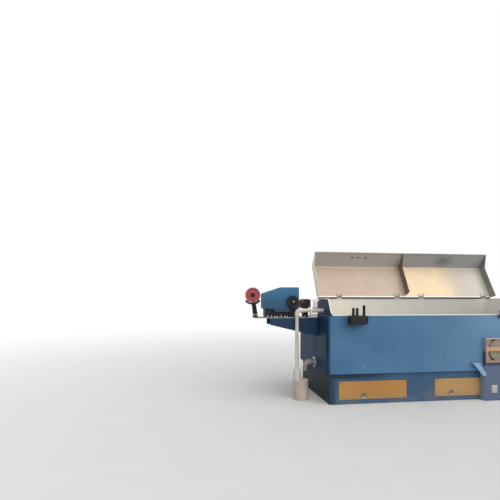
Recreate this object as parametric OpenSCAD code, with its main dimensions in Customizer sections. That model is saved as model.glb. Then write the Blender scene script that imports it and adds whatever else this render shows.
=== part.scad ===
// Wire drawing machine of the wet type: a tank with stepped cone capstans under a hinged hood,
// a gearcase behind the tank, an inlet arm at the left end and a finishing capstan at the front.
// +X runs along the machine with the wire, +Y from the operator's side to the gearcase, +Z is up.

/* [Body] */
// Length of the body along the wire
body_length = 2870; // [2400:10:3400]
// Depth of the tank, from the front face to its back wall
tank_depth = 625; // [600:5:700]
// Depth of the gearcase behind the tank
gearcase_depth = 700; // [500:10:900]
// Height of the base frame
base_height = 395; // [360:5:450]
// How far the base frame stands back from the body
base_setback = 40; // [20:5:80]
// Height of the tank's lip above the floor
lip_height = 1150; // [1120:5:1200]
// Thickness of the front wall
front_wall_t = 40; // [20:2:60]
// Thickness of the box section end walls
end_wall_t = 80; // [70:2:110]
// Radius of the upright front corners
corner_r = 65; // [20:1:68]
// Height of the tank's floor above the base frame
tank_floor_rise = 171; // [120:1:220]
// Thickness of the pale lining sheets
liner_t = 6; // [3:1:10]
// Thickness of the ear plates above the end walls
ear_t = 8; // [5:1:12]
// Depth of the pale trim on the lip and the ears
trim_t = 12; // [6:1:16]
// Height of the gearcase above the base frame
gearcase_height = 665; // [600:5:690]
// Radius of the gearcase's rear corners
gearcase_corner_r = 40; // [10:1:60]

/* [Base doors] */
// Height of the door panels
door_h = 234; // [180:2:290]
// Height of the doors' lower edge above the floor
door_z = 60; // [40:5:80]
// Thickness of a door panel
door_t = 18; // [12:1:25]
// How deep the doors sit in the base frame
door_inset = 15; // [5:1:20]
// Distance from the body's left face to the left door
left_door_start = 161; // [100:1:200]
// Width of the left door
left_door_w = 927; // [700:1:1000]
// Distance from the body's left face to the right door
right_door_start = 1490; // [1400:1:1492]
// Width of the right door
right_door_w = 658; // [500:1:659]
// Gap round a door in its recess
door_gap = 3; // [1:1:6]

/* [Ears] */
// Radius of the hollow curve where an ear rises from the lip
ear_foot_r = 130; // [110:1:150]
// Slope of an ear's front edge
ear_slope = 62; // [55:1:68]
// Radius of an ear's top front corner
ear_top_r = 90; // [60:1:110]
// Height of an ear's trim above the lip
ear_rise = 213; // [190:1:214]

/* [Hood] */
// Height of the hinge line above the lip
hinge_rise = 240; // [235:1:270]
// Width of the hood's main panel
hood_panel_w = 515; // [495:1:517]
// Width of the hood's front flange
hood_flange_w = 250; // [230:1:251]
// Bend between the main panel and the flange
hood_bend = 64; // [60:1:64]
// How far the open hood leans back from upright
hood_lean = 27; // [20:1:32]
// Thickness of the hood's sheet
hood_t = 4; // [2:0.5:5]
// Width of the return along the hood's free edge
hood_return = 20; // [8:1:22]
// How far the hood's sheet reaches behind the hinge line when closed
hood_lap = 10; // [6:1:11]
// Distance from the body's ends to the hood's ends
hood_end_inset = 60; // [52:1:62]
// Depth of the hood's end plates and rib below the main panel when closed
hood_end_depth = 105; // [80:1:115]
// Distance in front of the hinge line up to which they keep that depth
hood_end_reach = 449; // [400:1:460]
// How far the end plates reach behind the hinge line when closed
hood_heel = 40; // [20:1:50]
// Distance of the middle rib from the tank's back wall when closed
rib_gap = 25; // [15:1:40]

/* [Hood hinges] */
// Distance of the outer left hinge from the hood's left end
hinge_left_inset = 335; // [200:5:400]
// Distance of the outer right hinge from the hood's right end
hinge_right_inset = 125; // [80:5:300]
// Distance of the inner left hinge from the hood's middle
hinge_mid_left = 150; // [100:5:250]
// Distance of the inner right hinge from the hood's middle
hinge_mid_right = 235; // [100:5:250]
// Length of a hinge
hinge_len = 70; // [50:2:120]
// Length of the moving knuckle
knuckle_len = 28; // [16:1:36]
// Radius of the knuckles
knuckle_r = 10; // [8:0.5:12]
// Radius of the hinge pin
hinge_pin_r = 5; // [3:0.5:6]
// Running clearance round the hinge pin
pin_gap = 0.08; // [0.04:0.01:0.1]
// Side gap between the knuckles
knuckle_gap = 1; // [0.5:0.5:2]
// Gap round a hinge in the hood's cut-out
cutout_gap = 4; // [3:0.5:6]
// Reach of a hinge leaf on the hood
leaf_w = 60; // [40:2:80]
// Thickness of the hinge leaves and feet
leaf_t = 5; // [3:1:6]
// Height of the foot's top below the hinge line
foot_drop = 16; // [16:1:20]

/* [Hinge rail] */
// Depth of the rail along the top of the back wall
rail_d = 45; // [40:1:60]
// Height of the rail
rail_h = 40; // [25:1:60]
// Thickness of the back plate and the ribs
rail_plate_t = 8; // [5:1:12]
// Number of ribs behind the back plate
rail_ribs = 6; // [3:1:10]
// Depth of a rib at its foot
rib_foot = 24; // [16:1:28]

/* [Lip bracket] */
// Distance from the body's left face to the bracket
bracket_start = 271; // [150:1:400]
// Width of the bracket
bracket_w = 231; // [210:1:320]
// Height of the bracket
bracket_h = 110; // [80:2:140]
// Depth of the bracket
bracket_d = 80; // [80:1:100]
// Radius of the bracket's lower corners
bracket_r = 34; // [10:1:40]
// Radius of a guide peg
peg_r = 17; // [10:1:17]
// Distance of the pegs in front of the front face, clear of the swinging hood
peg_out = 58; // [57:1:59]
// Distances of the pegs from the bracket's left end
peg_places = [43, 93, 184];
// Heights of the pegs above the lip
peg_rises = [85, 85, 118];

/* [Cone capstans] */
// Number of steps on a cone
cone_steps = 6; // [3:1:7]
// Width of a step
step_w = 42; // [30:1:44]
// Radius of the smallest step
cone_r = 130; // [110:1:135]
// Growth in radius from step to step
step_rise = 15; // [8:1:16]
// Height of the rim at a cone's front
cone_rim = 8; // [4:1:10]
// Thickness of that rim
cone_rim_t = 10; // [6:1:14]
// Height of the cone shafts above the tank's floor
cone_height = 284; // [260:1:300]
// Distance between neighbouring shafts
cone_spacing = 600; // [540:5:620]
// Radius of a shaft
shaft_r = 30; // [24:1:34]
// Fit between a cone and its shaft
shaft_gap = 0.1; // [0.05:0.05:0.2]
// Length of the seal housing behind a cone
seal_len = 108; // [80:1:120]
// Radius of the seal housing's flange
seal_flange_r = 85; // [70:1:95]
// Radius of a cone's hub
hub_r = 58; // [50:1:64]
// Depth of the hollow in a cone's front
cone_hollow = 70; // [40:1:100]
// Thickness of a cone's wall at its smallest ring
cone_wall = 22; // [14:1:30]
// Number of ribs in a cone's hollow
cone_ribs = 6; // [3:1:8]
// Thickness of these ribs
cone_rib_t = 12; // [8:1:16]

/* [Dies] */
// Radius of a die case
die_r = 16; // [12:1:17]
// Fit between a die case and its seat
die_gap = 0.05; // [0.03:0.01:0.1]
// Radius of the hole through a die
die_hole_r = 3; // [2:0.5:5]
// Length of a die case along the wire
die_len = 50; // [30:2:70]
// Half height of the die bar
die_bar_h = 28; // [24:1:40]
// Thickness of the stand's column
stand_t = 30; // [20:2:50]
// Thickness of the stand's foot
stand_foot_t = 12; // [8:1:20]
// Width of the stand's foot
stand_foot_w = 90; // [60:5:110]

/* [Coolant header] */
// Radius of the coolant pipe
header_r = 17; // [12:1:20]
// Height of the coolant pipe below the lip
header_drop = 60; // [60:1:70]
// Distance of the coolant pipe from the back wall
header_reach = 50; // [40:1:60]
// Number of nozzles over each cone
nozzles = 3; // [1:1:5]
// Distance between nozzles
nozzle_pitch = 70; // [40:5:90]
// Radius of a nozzle
nozzle_r = 7; // [4:1:9]
// Length of a nozzle below the pipe
nozzle_len = 22; // [10:1:26]

/* [Gearcase] */
// Thickness of the gearcase cover
cover_t = 30; // [16:1:40]
// Distance of the cover from the gearcase's edges
cover_inset = 30; // [28:1:60]
// Radius of a bearing cap
cap_r = 80; // [60:1:100]
// Thickness of a bearing cap
cap_t = 24; // [12:1:40]
// Thickness of the belt guard
guard_t = 110; // [80:2:140]
// Radius of the belt guard round the lower pulley
guard_low_r = 130; // [100:2:150]
// Radius of the belt guard round the upper pulley
guard_high_r = 220; // [180:2:240]
// Height of the lower pulley above the floor
guard_low_z = 210; // [200:5:240]
// Height of the upper pulley above the floor
guard_high_z = 720; // [700:5:780]

/* [Inlet arm] */
// Reach of the shelf from the body's left face
shelf_reach = 870; // [800:5:950]
// Depth of the shelf
shelf_d = 280; // [240:5:320]
// Distance of the shelf's front edge behind the body's front face
shelf_front = 410; // [400:1:425]
// Thickness of the shelf plate
shelf_t = 12; // [8:1:20]
// Height of the shelf's top above the floor
shelf_z = 1106; // [1095:1:1115]
// Reach of the gussets from the body
gusset_reach = 660; // [500:5:750]
// Height of a gusset at the body
gusset_h = 250; // [150:5:300]
// Height of a gusset at its outer end
gusset_end_h = 90; // [40:5:120]
// Thickness of a gusset
gusset_t = 12; // [8:1:16]

/* [Entry guard] */
// Distance of the guard's outer end from the body's left face
guard_far = 750; // [700:5:780]
// Distance of the guard's inner end from the body's left face
guard_near = 245; // [240:1:260]
// Distance of the guard's top bend from the body's left face
guard_peak = 497; // [450:1:560]
// Distance of the step in the guard's lower edge from the body's left face
guard_step = 587; // [540:1:640]
// Height of the guard's lower edge above the shelf
guard_low = 72; // [50:1:90]
// Height of the stepped lower edge above the shelf
guard_low_step = 113; // [95:1:130]
// Height of the guard's outer end above the shelf
guard_end_h = 324; // [280:2:360]
// Height of the guard's top above the shelf
guard_top_h = 409; // [370:2:440]
// Depth of the guard
guard_d = 180; // [140:2:190]
// Distance of the guard behind the shelf's front edge
guard_back = 60; // [56:1:80]
// Corner radius of the guard
guard_r = 14; // [4:1:20]

/* [Guide wheel] */
// Radius of the red guide wheel
wheel_r = 102; // [80:1:104]
// Width of the wheel
wheel_w = 40; // [24:1:50]
// Depth of the wheel's groove
wheel_groove = 12; // [6:1:18]
// Distance of the wheel's axle from the body's left face
wheel_far = 877; // [872:1:895]
// Height of the wheel's axle above the shelf
wheel_rise = 304; // [290:1:320]
// Radius of the wheel's axle
axle_r = 12; // [9:0.5:15]
// Running clearance round an axle
axle_gap = 0.08; // [0.04:0.01:0.1]
// Side gap beside a wheel
wheel_side_gap = 6; // [5:1:8]
// Thickness of the arm
arm_t = 18; // [12:1:22]
// Width of the arm
arm_w = 46; // [36:1:60]
// Thickness of the curved keeper below the wheel
keeper_t = 26; // [10:1:30]
// Gap between the wheel and the keeper
keeper_gap = 7; // [6:1:10]
// Angle of the keeper's arc
keeper_arc = 104; // [60:1:110]

/* [Entry pulley] */
// Radius of the black entry pulley
pulley_r = 80; // [66:1:84]
// Width of the entry pulley
pulley_w = 34; // [20:1:36]
// Depth of its groove
pulley_groove = 12; // [6:1:16]
// Distance of the pulley's axle from the body's left face
pulley_far = 340; // [330:1:360]
// Height of the pulley's axle above the shelf
pulley_rise = 211; // [205:1:230]
// Width of the upright that carries the pulley
upright_w = 70; // [50:1:90]
// Thickness of the upright
upright_t = 12; // [8:1:14]

/* [Feed block] */
// Width of the feed block
feed_w = 135; // [100:1:140]
// Depth of the feed block
feed_d = 120; // [80:1:140]
// Height of the feed block
feed_h = 120; // [80:1:130]
// Distance of the feed block from the body's left face
feed_near = 70; // [60:1:90]
// Height of the feed block's foot
feed_foot_h = 127; // [100:1:140]
// Radius of the feed block's upper edges
feed_r = 30; // [10:1:40]
// Radius of the wire port through the ear
port_r = 20; // [12:1:22]
// Height of the wire port above the lip
port_rise = 64; // [50:1:66]

/* [Plastic pipe] */
// Outer radius of the pipe
pipe_r = 25; // [20:1:27]
// Thickness of the pipe's wall
pipe_wall = 3; // [2:0.5:4]
// Outer radius of the pipe's sockets
socket_r = 31; // [29:1:33]
// Depth of the pipe behind the body's front face
pipe_depth = 375; // [365:1:377]
// Height of the pipe above the lip
pipe_rise = 48; // [46:1:50]
// Distance of the riser from the body's left face
riser_far = 300; // [290:1:320]
// Radius of the elbow's bend
elbow_r = 45; // [36:1:60]
// Reach of the pipe's mouth into the tank
mouth_reach = 20; // [10:1:40]
// Height of the reducer's top above the floor
reducer_top = 416; // [380:2:440]
// Radius of the reducer
reducer_r = 54; // [40:1:60]
// Height of the wide end piece
pot_h = 266; // [220:2:290]
// Radius of the wide end piece
pot_r = 100; // [80:1:102]
// How far the wide end piece stands to the right of the riser
pot_shift = 55; // [0:1:60]
// Distance of the valve from the body's left face
valve_far = 44; // [44:1:60]
// Height of the valve's body
valve_h = 72; // [60:1:90]
// Radius of the valve's unions
valve_r = 34; // [32:1:40]
// Radius of the valve's waist
valve_waist_r = 25; // [20:1:30]
// Height of the valve's handle
handle_h = 22; // [8:1:26]
// Length of the valve's handle
handle_len = 96; // [80:2:110]

/* [Drain elbow] */
// Outer radius of the drain pipe
drain_r = 49; // [36:1:56]
// Wall of the drain pipe
drain_wall = 6; // [3:1:8]
// Radius of the drain flange
drain_flange_r = 75; // [62:1:80]
// Thickness of the drain flange
drain_flange_t = 16; // [10:1:22]
// Depth of the drain behind the front face
drain_depth = 525; // [475:5:535]
// Height of the drain above the base frame
drain_rise = 80; // [76:1:100]
// Length of the drain's neck
drain_neck = 60; // [40:1:80]
// Radius of the drain's bend
drain_bend = 80; // [64:1:100]
// Length of the drain's spigot below the bend
drain_tail = 40; // [20:1:60]

/* [Outlet] */
// Distance from the body's left face to the middle of the outlet
outlet_mid = 2382; // [2381:1:2400]
// Width of the outlet pedestal
pedestal_w = 462; // [400:2:464]
// Height of the outlet pedestal
pedestal_h = 463; // [440:1:475]
// Reach of the outlet pedestal in front of the body
pedestal_reach = 50; // [50:1:60]
// Height of the saddle between the pedestal and the guard
saddle_h = 42; // [24:1:50]
// How far the saddle is set back from the pedestal's front and sides
saddle_inset = 24; // [10:1:34]
// Width of the framed guard
frame_w = 438; // [400:2:480]
// Height of the framed guard
frame_h = 326; // [322:1:350]
// Thickness of the guard's sheet
frame_t = 6; // [3:1:8]
// Thickness of the guard's back sheet
frame_back_t = 3; // [2:0.5:4]
// Width of the guard's upright bars
frame_bar = 40; // [30:1:60]
// Width of the guard's lower bar
frame_low_bar = 30; // [20:1:40]
// Height of the middle bar above the guard's foot
frame_mid_z = 156; // [140:1:170]
// Width of the middle bar
frame_mid_bar = 55; // [40:1:60]
// Width of the upper bar
frame_top_bar = 16; // [12:1:30]
// Radius of the finishing capstan
capstan_r = 150; // [120:1:152]
// Width of the finishing capstan
capstan_w = 28; // [24:1:28]
// Radius of the capstan's axle
capstan_axle_r = 22; // [16:1:26]
// Gap between the capstan and the front wall or the guard
capstan_gap = 8; // [7:1:8]
// Reach of the side bracket to the left of the pedestal
side_reach = 179; // [150:1:200]
// Width of the side bracket
side_w = 100; // [70:1:110]
// Height of the side bracket
side_h = 175; // [140:1:200]
// Height of the side bracket's top above the guard's foot
side_rise = 0; // [0:1:24]
// Lap of the side bracket on the pedestal
side_lap = 20; // [20:1:40]
// Thickness of the side bracket's sheet
side_t = 6; // [4:1:10]
// Distance of the exit guide's left side from the middle of the outlet
exit_shift = 4; // [0:1:80]
// Width of the exit guide
exit_w = 70; // [50:1:90]
// Height of the exit guide above the lip
exit_rise = 58; // [40:1:60]
// Height of the exit guide's plate below the lip
exit_drop = 45; // [30:1:70]
// Radius of the exit roller
exit_r = 14; // [8:1:16]
// Distance of the exit guide's cheeks in front of the front face, clear of the swinging hood
exit_out = 23; // [22:1:30]

/* [Hidden] */
$fn = 96;
// Points in a rounded corner
corner_steps = 6;
// Section of the grooved wheels: rim beside the groove, flare of the web, groove's edge and half its floor
wheel_rim = 8;
web_flare = 6;
groove_edge = 3;
groove_floor = 2;
// Height of the tee's neck between its sockets and the valve
tee_neck = 16;
body_depth = tank_depth + gearcase_depth;
left_x = -body_length / 2;
right_x = body_length / 2;
front_y = -body_depth / 2;
back_y = body_depth / 2;
tank_back_y = front_y + tank_depth;
inner_x = body_length / 2 - end_wall_t;
lined_x = inner_x - liner_t;
wall_top = lip_height - trim_t;
floor_z = base_height + tank_floor_rise;
gearcase_top = base_height + gearcase_height;
hinge_z = lip_height + hinge_rise;
rail_top = hinge_z - foot_drop - leaf_t;
hood_swing = 90 + hood_lean;
hood_half = body_length / 2 - hood_end_inset;
shaft_z = floor_z + cone_height;
cone_back_y = tank_back_y - liner_t - seal_len;
cone_front_y = cone_back_y - cone_steps * step_w - cone_rim_t;
cone_places = [for (i = [0 : 3]) (i - 1.5) * cone_spacing];
cone_big_r = cone_r + (cone_steps - 1) * step_rise;
die_places = [(cone_places[0] + cone_places[1]) / 2, (cone_places[2] + cone_places[3]) / 2];
hinge_places = [
    -hood_half + hinge_left_inset, -hinge_mid_left, hinge_mid_right, hood_half - hinge_right_inset
];
header_y = tank_back_y - liner_t - header_reach;
header_z = lip_height - header_drop;
shelf_y = front_y + shelf_front;
guard_y = shelf_y + guard_back;
guard_mid_y = guard_y + guard_d / 2;
wheel_x = left_x - wheel_far;
wheel_z = shelf_z + wheel_rise;
pulley_x = left_x - pulley_far;
pulley_z = shelf_z + pulley_rise;
pulley_y = guard_y - upright_t - wheel_side_gap - pulley_w;
port_z = lip_height + port_rise;
pipe_y = front_y + pipe_depth;
pipe_z = lip_height + pipe_rise;
riser_x = left_x - riser_far;
valve_x = left_x - valve_far;
valve_z = pipe_z + socket_r + tee_neck;
outlet_x = left_x + outlet_mid;
frame_z = pedestal_h + saddle_h;
frame_y = front_y - pedestal_reach;
capstan_z = frame_z + frame_h / 2;
capstan_y = front_y - capstan_gap - capstan_w;
boss_r = 2 * capstan_axle_r;
// Closed hood in depth and height from the hinge line: way of the flange, outward normals, fold and tip
flange_way = [-cos(hood_bend), -sin(hood_bend)];
flange_out = [flange_way[1], -flange_way[0]];
hood_miter = ([0, 1] + flange_out) / (1 + flange_out[1]);
hood_corner = [-hood_panel_w, 0];
hood_tip = hood_corner + flange_way * hood_flange_w;
// Tip of the plates inside the hood, clear of the return
plate_tip = hood_tip - flange_way * (hood_t + 1);

// Unit vector from one point of the plane to another
function toward(a, b) = (b - a) / norm(b - a);

// One corner of an outline, rounded with an arc of the given radius
function corner_arc(a, p, b, r) =
    let (
        u = toward(p, a),
        v = toward(p, b),
        half = acos(u * v) / 2,
        mid = (u + v) / norm(u + v),
        centre = p + mid * r / sin(half),
        first = p + u * r / tan(half),
        last = p + v * r / tan(half),
        from = atan2(first[1] - centre[1], first[0] - centre[0]),
        turn = atan2(last[1] - centre[1], last[0] - centre[0]) - from,
        sweep = turn > 180 ? turn - 360 : turn < -180 ? turn + 360 : turn
    )
    [for (k = [0 : corner_steps]) centre + r * [
        cos(from + sweep * k / corner_steps), sin(from + sweep * k / corner_steps)
    ]];

// An outline with all its corners rounded
function soft_outline(points, r) =
    let (n = len(points))
    [for (i = [0 : n - 1]) each corner_arc(points[(i + n - 1) % n], points[i], points[(i + 1) % n], r)];

// Draws a plane outline of Y and Z, and gives it a width along X
module along_x(from_x, width) {
    translate([from_x, 0, 0])
        rotate([90, 0, 90])
            linear_extrude(width)
                children();
}

// Draws a plane outline of X and Z, and gives it a depth along Y
module along_y(from_y, depth) {
    translate([0, from_y + depth, 0])
        rotate([90, 0, 0])
            linear_extrude(depth)
                children();
}

// A round bar along X
module bar_x(from_x, length, y, z, r) {
    translate([from_x, y, z])
        rotate([0, 90, 0])
            cylinder(h = length, r = r);
}

// A round bar along Y
module bar_y(x, from_y, length, z, r) {
    translate([x, from_y + length, z])
        rotate([90, 0, 0])
            cylinder(h = length, r = r);
}

// Repeats a left-hand piece at the right end
module both_ends() {
    children();
    mirror([1, 0, 0])
        children();
}

// Edge of an ear in depth and height, set in by the given distance
function ear_edge(inset) =
    let (
        foot = [0, lip_height + ear_foot_r],
        top = [
            (ear_foot_r + ear_top_r) * sin(ear_slope)
                + (ear_rise - (ear_foot_r + ear_top_r) * (1 - cos(ear_slope))) / tan(ear_slope),
            lip_height + ear_rise - ear_top_r
        ],
        steps = 12
    )
    concat(
        [for (k = [0 : steps]) foot + (ear_foot_r + inset) * [
            sin(ear_slope * k / steps), -cos(ear_slope * k / steps)
        ]],
        [for (k = [steps : -1 : 0]) top + (ear_top_r - inset) * [
            -sin(ear_slope * k / steps), cos(ear_slope * k / steps)
        ]],
        [[tank_depth, lip_height + ear_rise - inset]]
    );

// Region below the ear's edge, down to the given height, in Y and Z
module ear_region(inset, low_z) {
    translate([front_y, 0])
        polygon(concat(ear_edge(inset), [[tank_depth, low_z], [0, low_z]]));
}

// Base frame with the recesses for its doors
module base_frame() {
    long = body_length - 2 * base_setback;
    deep = body_depth - 2 * base_setback;
    color("steelblue")
        difference() {
            translate([-long / 2, -deep / 2, 0])
                cube([long, deep, base_height]);
            for (side = [0, 1])
                rotate([0, 0, 180 * side])
                    door_recesses(deep);
        }
}

module door_recesses(deep) {
    for (d = [[left_door_start, left_door_w], [right_door_start, right_door_w]])
        translate([left_x + d[0] - door_gap, -deep / 2 - 1, door_z - door_gap])
            cube([d[1] + 2 * door_gap, door_inset + 1, door_h + 2 * door_gap]);
}

// Orange door panels at the front and the back of the base
module base_doors() {
    face_y = -body_depth / 2 + base_setback + door_inset - door_t;
    color("orange")
        for (side = [0, 1])
            rotate([0, 0, 180 * side])
                for (d = [[left_door_start, left_door_w], [right_door_start, right_door_w]])
                    translate([left_x + d[0], face_y, door_z])
                        cube([d[1], door_t, door_h]);
}

// Flat front wall of the tank, between the end walls
module front_wall() {
    color("steelblue")
        translate([-inner_x, front_y, base_height])
            cube([2 * inner_x, front_wall_t, wall_top - base_height]);
}

// Box section end walls with rounded front corners
module end_walls() {
    color("steelblue")
        both_ends()
            translate([left_x, front_y, base_height])
                linear_extrude(wall_top - base_height)
                    intersection() {
                        square([end_wall_t, tank_depth]);
                        union() {
                            translate([corner_r, corner_r])
                                circle(corner_r);
                            translate([corner_r, 0])
                                square([end_wall_t, tank_depth]);
                            translate([0, corner_r])
                                square([end_wall_t, tank_depth]);
                        }
                    }
}

// Ear plates that follow the closed hood; the left one lets the wire and the pipe through
module ears() {
    color("steelblue") {
        difference() {
            along_x(-inner_x - ear_t, ear_t)
                ear_plate();
            left_end_holes();
        }
        along_x(inner_x, ear_t)
            ear_plate();
    }
}

module ear_plate() {
    intersection() {
        ear_region(trim_t, wall_top);
        translate([front_y, wall_top])
            square([tank_depth, ear_rise]);
    }
}

// Wire port and pipe hole through the left end
module left_end_holes() {
    bar_x(left_x - 1, end_wall_t + liner_t + 2, guard_mid_y, port_z, port_r);
    bar_x(left_x - 1, end_wall_t + liner_t + 2, pipe_y, pipe_z, pipe_r + axle_gap);
}

// Closed box under the tank, whose top is the tank's floor
module tank_bed() {
    color("beige")
        translate([-inner_x, front_y + front_wall_t, base_height])
            cube([2 * inner_x, tank_depth - front_wall_t, tank_floor_rise]);
}

// Pale lining sheets of the tank
module liner_back() {
    color("beige")
        translate([-inner_x, tank_back_y - liner_t, floor_z])
            cube([2 * inner_x, liner_t, rail_top - floor_z]);
}

module liner_front() {
    color("beige")
        translate([-inner_x, front_y + front_wall_t, floor_z])
            cube([2 * inner_x, liner_t, wall_top - floor_z]);
}

module liner_ends() {
    color("beige") {
        difference() {
            along_x(-inner_x, liner_t)
                liner_end_plate();
            left_end_holes();
        }
        along_x(lined_x, liner_t)
            liner_end_plate();
    }
}

module liner_end_plate() {
    intersection() {
        ear_region(trim_t, floor_z);
        translate([front_y + front_wall_t + liner_t, floor_z])
            square([tank_depth - front_wall_t - 2 * liner_t, hinge_z]);
    }
}

// Pale trim on the front lip and along the ears
module lip_trim() {
    color("white") {
        translate([-lined_x, front_y, wall_top])
            cube([2 * lined_x, front_wall_t + liner_t, trim_t]);
        both_ends()
            along_x(-inner_x - ear_t, ear_t + liner_t)
                intersection() {
                    difference() {
                        ear_region(0, wall_top);
                        ear_region(trim_t, 0);
                    }
                    translate([front_y, wall_top])
                        square([tank_depth - liner_t, hinge_z]);
                }
    }
}

// Gearcase behind the tank, with rounded rear corners
module gearcase() {
    color("steelblue")
        translate([left_x, tank_back_y, base_height])
            linear_extrude(gearcase_height) {
                square([body_length, gearcase_depth - gearcase_corner_r]);
                translate([gearcase_corner_r, 0])
                    square([body_length - 2 * gearcase_corner_r, gearcase_depth]);
                for (x = [gearcase_corner_r, body_length - gearcase_corner_r])
                    translate([x, gearcase_depth - gearcase_corner_r])
                        circle(gearcase_corner_r);
            }
}

// Bolted cover of the gearcase with two raised inspection lids
module gearcase_cover() {
    long = body_length - 2 * cover_inset;
    deep = gearcase_depth - 2 * cover_inset;
    lid_l = 420;
    lid_h = 18;
    color("steelblue")
        translate([-long / 2, tank_back_y + cover_inset, gearcase_top]) {
            cube([long, deep, cover_t]);
            for (x = [long / 4, 3 * long / 4])
                translate([x - lid_l / 2, deep / 4, cover_t])
                    cube([lid_l, deep / 2, lid_h]);
        }
}

// Bearing caps of the cone shafts on the gearcase's back
module bearing_caps() {
    color("steelblue")
        for (x = cone_places)
            bar_y(x, back_y, cap_t, shaft_z, cap_r);
}

// Belt guard at the back, round over both pulleys
module belt_guard() {
    rise = guard_high_z - guard_low_z;
    tip = (guard_high_r - guard_low_r) / rise;
    lean = asin(tip);
    color("steelblue")
        along_y(back_y, guard_t) {
            translate([0, guard_low_z])
                circle(guard_low_r);
            translate([0, guard_high_z])
                circle(guard_high_r);
            polygon([
                [-guard_low_r * cos(lean), guard_low_z - guard_low_r * tip],
                [guard_low_r * cos(lean), guard_low_z - guard_low_r * tip],
                [guard_high_r * cos(lean), guard_high_z - guard_high_r * tip],
                [-guard_high_r * cos(lean), guard_high_z - guard_high_r * tip]
            ]);
        }
}

// Back plate, rail and ribs that carry the hinges
module hinge_rail() {
    step = (2 * inner_x - rail_plate_t) / (rail_ribs - 1);
    color("steelblue") {
        translate([-inner_x, tank_back_y, gearcase_top])
            cube([2 * inner_x, rail_plate_t, rail_top - gearcase_top]);
        translate([-inner_x, tank_back_y, rail_top - rail_h])
            cube([2 * inner_x, rail_d, rail_h]);
        for (i = [0 : rail_ribs - 1])
            along_x(-inner_x + i * step, rail_plate_t)
                polygon([
                    [tank_back_y, gearcase_top],
                    [tank_back_y + rib_foot, gearcase_top],
                    [tank_back_y + rail_d, rail_top - rail_h],
                    [tank_back_y, rail_top - rail_h]
                ]);
    }
}

// Fixed halves of the hood's hinges, each with its foot, outer knuckles and pin
module hinge_blocks() {
    side = (hinge_len - knuckle_len) / 2 - knuckle_gap;
    color("silver")
        for (x = hinge_places)
            translate([x - hinge_len / 2, tank_back_y, hinge_z]) {
                translate([0, -knuckle_r, -foot_drop - leaf_t])
                    cube([hinge_len, rail_d, leaf_t]);
                for (from = [0, hinge_len - side]) {
                    translate([from, -knuckle_r, -foot_drop])
                        cube([side, 2 * knuckle_r, foot_drop]);
                    bar_x(from, side, 0, 0, knuckle_r);
                }
                bar_x(0, hinge_len, 0, 0, hinge_pin_r);
            }
}

// Puts what is drawn for the closed hood at its open rest
module hood_place() {
    translate([0, tank_back_y, hinge_z])
        rotate([-hood_swing, 0, 0])
            children();
}

// Folded sheet of the hood with the return along its free edge and the cut-outs for the hinges
module hood_panel() {
    cutout = knuckle_r + cutout_gap;
    color("lightgray")
        hood_place()
            difference() {
                along_x(-hood_half, 2 * hood_half) {
                    polygon([
                        [hood_lap, 0], hood_corner, hood_tip,
                        hood_tip + flange_out * hood_t,
                        hood_corner + hood_miter * hood_t,
                        [hood_lap, hood_t]
                    ]);
                    polygon([
                        hood_tip,
                        hood_tip - flange_way * hood_t,
                        hood_tip - flange_way * hood_t - flange_out * hood_return,
                        hood_tip - flange_out * hood_return
                    ]);
                }
                for (x = hinge_places)
                    translate([x - hinge_len / 2 - cutout_gap, -cutout, -1])
                        cube([hinge_len + 2 * cutout_gap, cutout + hood_lap + 1, hood_t + 2]);
            }
}

// End plates of the hood, whose free edge follows the folded sheet
module hood_ends() {
    color("lightgray")
        hood_place()
            both_ends()
                along_x(-hood_half, hood_t)
                    polygon([
                        [hood_lap, 0], hood_corner, plate_tip,
                        [-hood_end_reach, -hood_end_depth], [hood_heel, -hood_end_depth]
                    ]);
}

// Rib across the middle of the hood, clear of the tank's back wall when closed
module hood_rib() {
    color("lightgray")
        hood_place()
            along_x(-hood_t / 2, hood_t)
                polygon([
                    [-rib_gap, 0], hood_corner, plate_tip,
                    [-hood_end_reach, -hood_end_depth], [-rib_gap, -hood_end_depth]
                ]);
}

// Moving halves of the hinges on the hood's outer side
module hood_leaves() {
    color("silver")
        hood_place()
            for (x = hinge_places)
                difference() {
                    translate([x - knuckle_len / 2, 0, 0]) {
                        translate([0, -leaf_w, hood_t])
                            cube([knuckle_len, leaf_w, leaf_t]);
                        bar_x(0, knuckle_len, 0, 0, knuckle_r);
                    }
                    bar_x(x - knuckle_len, 2 * knuckle_len, 0, 0, hinge_pin_r + pin_gap);
                }
}

// Black bracket on the front lip
module lip_bracket() {
    x0 = left_x + bracket_start;
    low_z = wall_top - bracket_h;
    color("dimgray")
        along_y(front_y - bracket_d, bracket_d)
            polygon(concat(
                [[x0, wall_top]],
                corner_arc([x0, wall_top], [x0, low_z], [x0 + bracket_w, low_z], bracket_r),
                corner_arc([x0, low_z], [x0 + bracket_w, low_z], [x0 + bracket_w, wall_top], bracket_r),
                [[x0 + bracket_w, wall_top]]
            ));
}

// Three upright pegs with collars on the bracket
module guide_pegs() {
    collar_h = 8;
    foot_rim = 4;
    head_rim = 3;
    color("dimgray")
        for (i = [0 : len(peg_places) - 1])
            translate([left_x + bracket_start + peg_places[i], front_y - peg_out, wall_top]) {
                cylinder(h = lip_height + peg_rises[i] - wall_top, r = peg_r);
                cylinder(h = collar_h, r = peg_r + foot_rim);
                translate([0, 0, lip_height + peg_rises[i] - wall_top - collar_h])
                    cylinder(h = collar_h, r = peg_r + head_rim);
            }
}

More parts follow.
